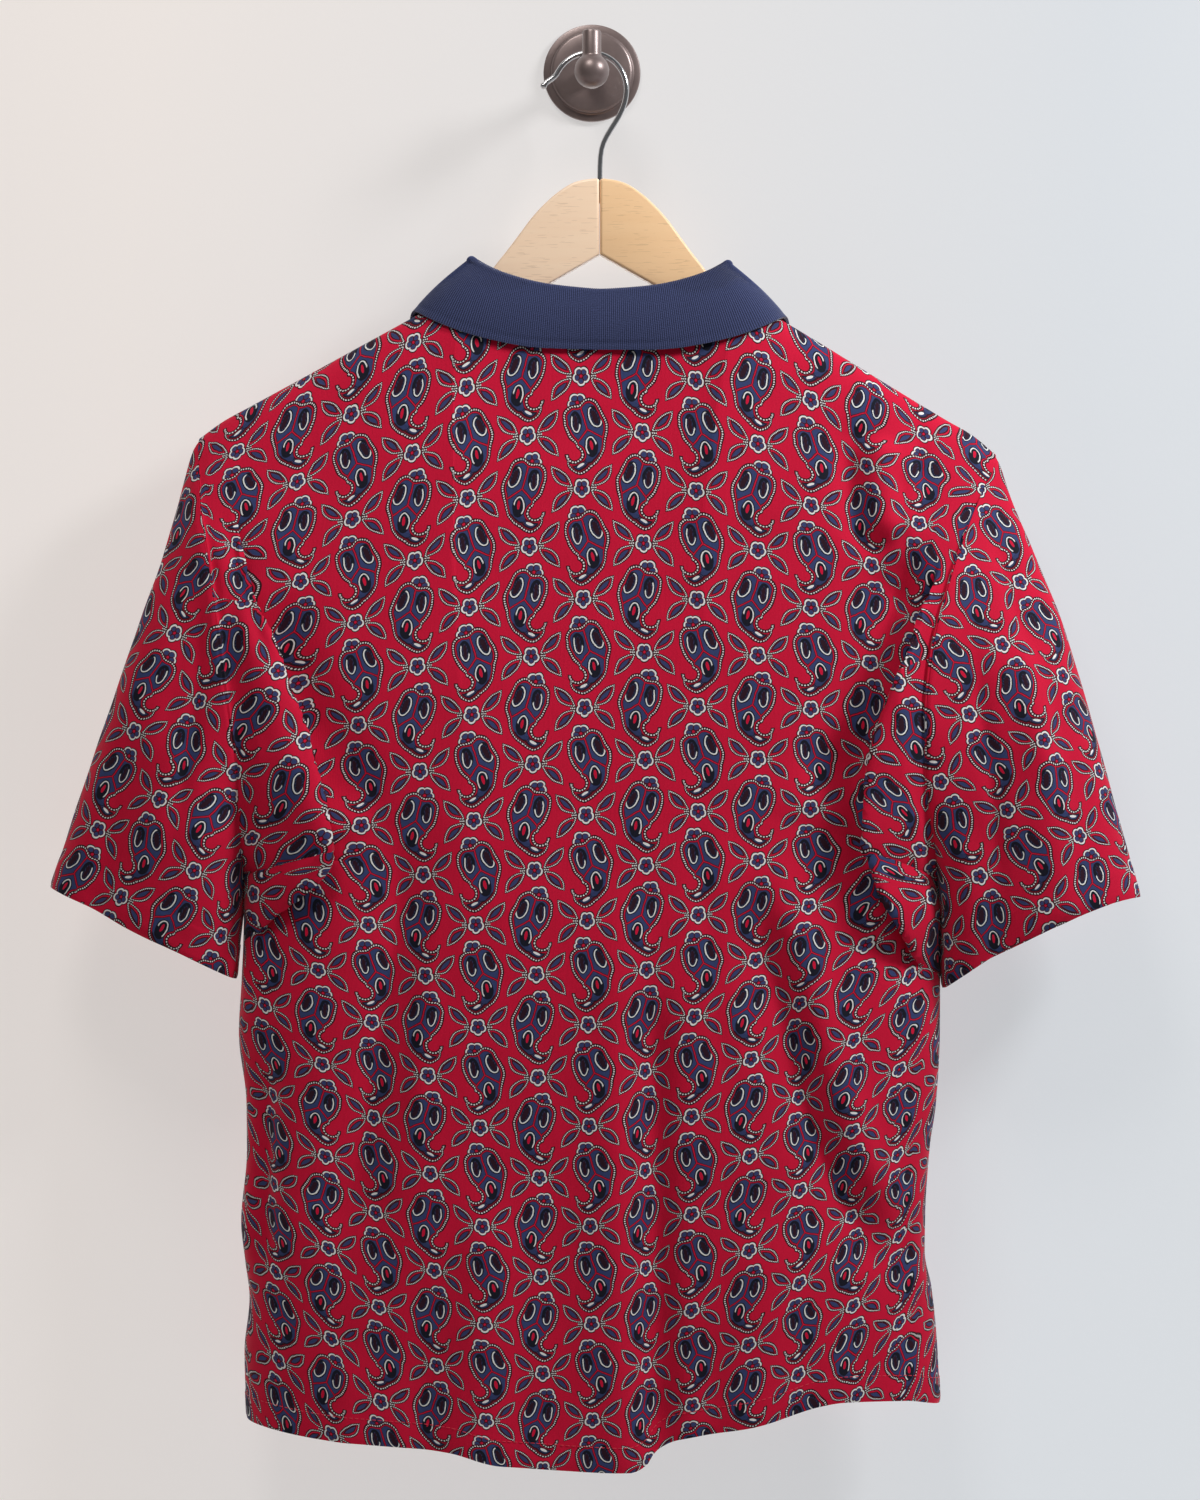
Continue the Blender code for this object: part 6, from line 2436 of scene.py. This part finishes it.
@dataclass
class Studio:
    """Wall, floor, lights and camera."""

    camera_place: tuple[float, float, float] = (0.0052, -2.35, -0.436)
    focal: float = 3645.0
    picture_height: float = 1500.0
    width: float = 8.0
    wall_y: float = 0.0004
    wall_top: float = 2.2
    floor_y: float = -5.0
    floor_z: float = -1.55
    wall_painted_glow: float = 0.56
    lit_place: tuple[float, float, float] = (0.0, -0.05, -0.45)

    def wall_material(self) -> Material:
        """Wall seen from its front only, with painted light: warm towards the left, cool towards the right,
        darker towards the top, and glowing to lighten the shadows on it.

        Returns:
            The material.
        """
        surface = Surface("wall_painted_light", roughness=0.9, specular_ior_level=0.2)
        x, _, z = surface.parts(surface.object_place())
        # Painted light: a mask that turns the wall warm at the left and cool at the right, standing in for
        # the colours of the two lamps.
        painted_light_warmth = (0.5 - (x - 0.02) * 1.6 + z * 0.1).clamped()
        # Painted light: the wall's colour is darker towards the top, where the lamps are near, and lighter
        # below.
        height = (z * 1.05 + 0.95).clamped()
        fine = surface.noise(surface.object_place(), 260.0, 3.0)
        low = surface.blend(painted_light_warmth, (0.345, 0.36, 0.375, 1.0), (0.38, 0.365, 0.36, 1.0))
        high = surface.blend(painted_light_warmth, (0.195, 0.2, 0.21, 1.0), (0.33, 0.305, 0.29, 1.0))
        surface.feed("Base Color", surface.blend(height, low, high))
        # Painted light: the wall glows, though it is no lamp, to lighten the shadows cast on it.
        painted_glow = surface.blend(painted_light_warmth, (0.86, 0.9, 0.94, 1.0), (1.0, 0.94, 0.9, 1.0))
        surface.feed("Emission Color", painted_glow)
        surface.shader.inputs["Emission Strength"].default_value = self.wall_painted_glow
        surface.bump(fine, 0.0002, 0.25)
        return self.one_sided(surface)

    def one_sided(self, surface: Surface) -> Material:
        """Material that is clear from behind, so that a backdrop hides nothing of the shirt.

        Args:
            surface: the finish seen from the front.

        Returns:
            The material.
        """
        back = surface.make("ShaderNodeNewGeometry", {}, {}, "Backfacing")
        clear = surface.make("ShaderNodeBsdfTransparent", {}, {})
        front = Value(surface, surface.shader.outputs[0])
        mixed = surface.make("ShaderNodeMixShader", {}, {0: back, 1: front, 2: clear})
        surface.tree.links.new(mixed.socket, surface.tree.nodes["Material Output"].inputs["Surface"])
        return surface.material

    def floor_material(self) -> Material:
        """Plain pale floor."""
        surface = Surface("pale_floor", roughness=0.8)
        tone = surface.noise(surface.object_place(), 3.0, 2.0)
        surface.feed("Base Color", surface.blend(tone, (0.72, 0.71, 0.7, 1.0), (0.76, 0.75, 0.74, 1.0)))
        return self.one_sided(surface)

    def plane(self, name: str, low: tuple[float, float, float], high: tuple[float, float, float],
              material: Material) -> None:
        """Flat backdrop that casts no shadow, so that the light behind the wall passes it.

        Args:
            name: object name.
            low, high: opposite corners.
            material: its finish.
        """
        (left, near, bottom), (right, far, top) = low, high
        corners = ((left, near, bottom), (right, near, bottom), (right, far, top), (left, far, top))
        mesh = bpy.data.meshes.new(name)
        mesh.from_pydata(corners, [], [(0, 1, 2, 3)])
        mesh.materials.append(material)
        backdrop = scene_object(name, mesh)
        backdrop.visible_shadow = False

    def light(self, name: str, place: tuple[float, float, float], power: float, size: float,
              colour: tuple[float, float, float]) -> None:
        """Soft square light that looks at the shirt.

        Args:
            name: object name.
            place: its position.
            power: watts.
            size: edge length.
            colour: its colour.
        """
        lamp = bpy.data.lights.new(name, "AREA")
        lamp.energy = power
        lamp.size = size
        lamp.color = colour
        holder = scene_object(name, lamp)
        holder.location = place
        aim = Vector(self.lit_place) - Vector(place)
        holder.rotation_euler = aim.to_track_quat("-Z", "Y").to_euler()

    def build(self) -> None:
        """Make the picture's surroundings."""
        wide, low, wall_y = self.width / 2.0, self.floor_z, self.wall_y
        self.plane("wall", (-wide, wall_y, low), (wide, wall_y, self.wall_top), self.wall_material())
        self.plane("floor", (-wide, self.floor_y, low), (wide, wall_y, low), self.floor_material())
        self.light("left_light", (-0.4, -1.15, 1.2), 14.5, 0.6, (1.0, 0.965, 0.93))
        self.light("right_light", (1.18, -0.66, 0.62), 22.0, 0.34, (0.97, 0.985, 1.0))
        self.light("light_behind_wall", (0.1, 1.9, -0.5), 18.0, 0.9, (1.0, 0.99, 0.98))
        world = bpy.data.worlds.new("studio")
        world.use_nodes = True
        sky = world.node_tree.nodes["Background"]
        sky.inputs["Color"].default_value = (0.95, 0.97, 1.0, 1.0)
        sky.inputs["Strength"].default_value = 0.12
        bpy.context.scene.world = world
        bpy.context.scene.view_settings.view_transform = "Standard"

        camera = bpy.data.cameras.new("camera")
        camera.sensor_fit = "VERTICAL"
        camera.sensor_height = camera.sensor_width = 36.0
        camera.lens = self.focal / self.picture_height * camera.sensor_height
        holder = scene_object("camera", camera)
        holder.location = self.camera_place
        holder.rotation_euler = (math.pi / 2.0, 0.0, 0.0)
        bpy.context.scene.camera = holder


# ---- building

CUFFS = {Side.LEFT: (-0.225, -0.5796, 0.002, 0.004), Side.RIGHT: (0.2225, -0.5855, 0.01, 0.002)}
# Painted shade: the right half's colours are darker and more orange than the left's, standing in for that
# half turning away from the light. Within each half, the light and dark tones are the wood's grain.
HANGER_WOODS_LIT_AND_SHADED = {
    Side.LEFT: PaleWood(-0.53, (0.99, 0.76, 0.55, 1.0), (0.95, 0.67, 0.46, 1.0)),
    Side.RIGHT: PaleWood(0.53, (0.97, 0.66, 0.38, 1.0), (0.9, 0.57, 0.305, 1.0)),
}


def report(*pieces: Object) -> None:
    """Log the size of each piece."""
    for piece in pieces:
        LOG.info("%s: %d faces", piece.name, len(piece.data.polygons))


def hem_stitches(panel: BodyPanel, name: str, thread: Material) -> Object:
    """Stitch row above a panel's hem.

    Args:
        panel: the panel.
        name: piece name.
        thread: thread's material.

    Returns:
        The piece.
    """
    across, down = panel.shares()
    inner = panel.draped(across, down)
    above = hem_heights(inner)
    normal = outward(inner) * panel.face
    outer = inner + normal * (CLOTH + panel.hem_ridge)
    line, line_normal = (
        np.array([
            read_line(panel.hem_depth - STITCH_BELOW_HEM_TOP, above[::-1, column], values[::-1, column])
            for column in range(1, outer.shape[1] - 1)
        ])
        for values in (outer, normal)
    )
    return StitchRow().build(name, line, line_normal, thread)


def main() -> None:
    """Build the shirt, its hanger, the wall hook and the picture around them."""
    logging.basicConfig(level=logging.INFO, format="%(name)s: %(message)s")
    cut = ShirtCut()
    jersey = PrintedJersey().shown(), PrintedJersey().reverse()
    rib, thread = NavyRib().material(), SewingThread().material()
    sleeves = {
        side: Sleeve(cut, side, *cuff, SLEEVE_FOLDS[side], SLEEVE_BACK_CREASES[side],
                     SLEEVE_FRONT_CREASES[side])
        for side, cuff in CUFFS.items()
    }
    back = BodyPanel(cut, Face.BACK, BACK_FOLDS, BACK_CREASES, 80, 50, 92, 112, LAPS, sleeves)
    front = BodyPanel(cut, Face.FRONT, FRONT_FOLDS, FRONT_CREASES, 32, 38, 52, 64)
    back_piece, front_piece = back.build("shirt_back", jersey), front.build("shirt_front", jersey)
    back_row = hem_stitches(back, "back_hem_stitches", thread)
    front_row = hem_stitches(front, "front_hem_stitches", thread)
    report(back_piece, front_piece, back_row, front_row)

    for sleeve in sleeves.values():
        piece = sleeve.build(jersey)
        report(piece)
    collar = Collar(cut).build(rib)
    placket = Placket(front)
    strip = placket.build(jersey)
    report(collar, strip, *placket.sew_buttons(ButtonPlastic().material(), thread))

    for side, wood in HANGER_WOODS_LIT_AND_SHADED.items():
        report(HangerHalf(cut, side).build(wood.material("pale_wood_" + side.word)))
    report(HookWire().build(ChromeWire().material()), *WallHook().build(DarkBronze().material()))
    Studio().build()


if __name__ == "__main__":
    main()
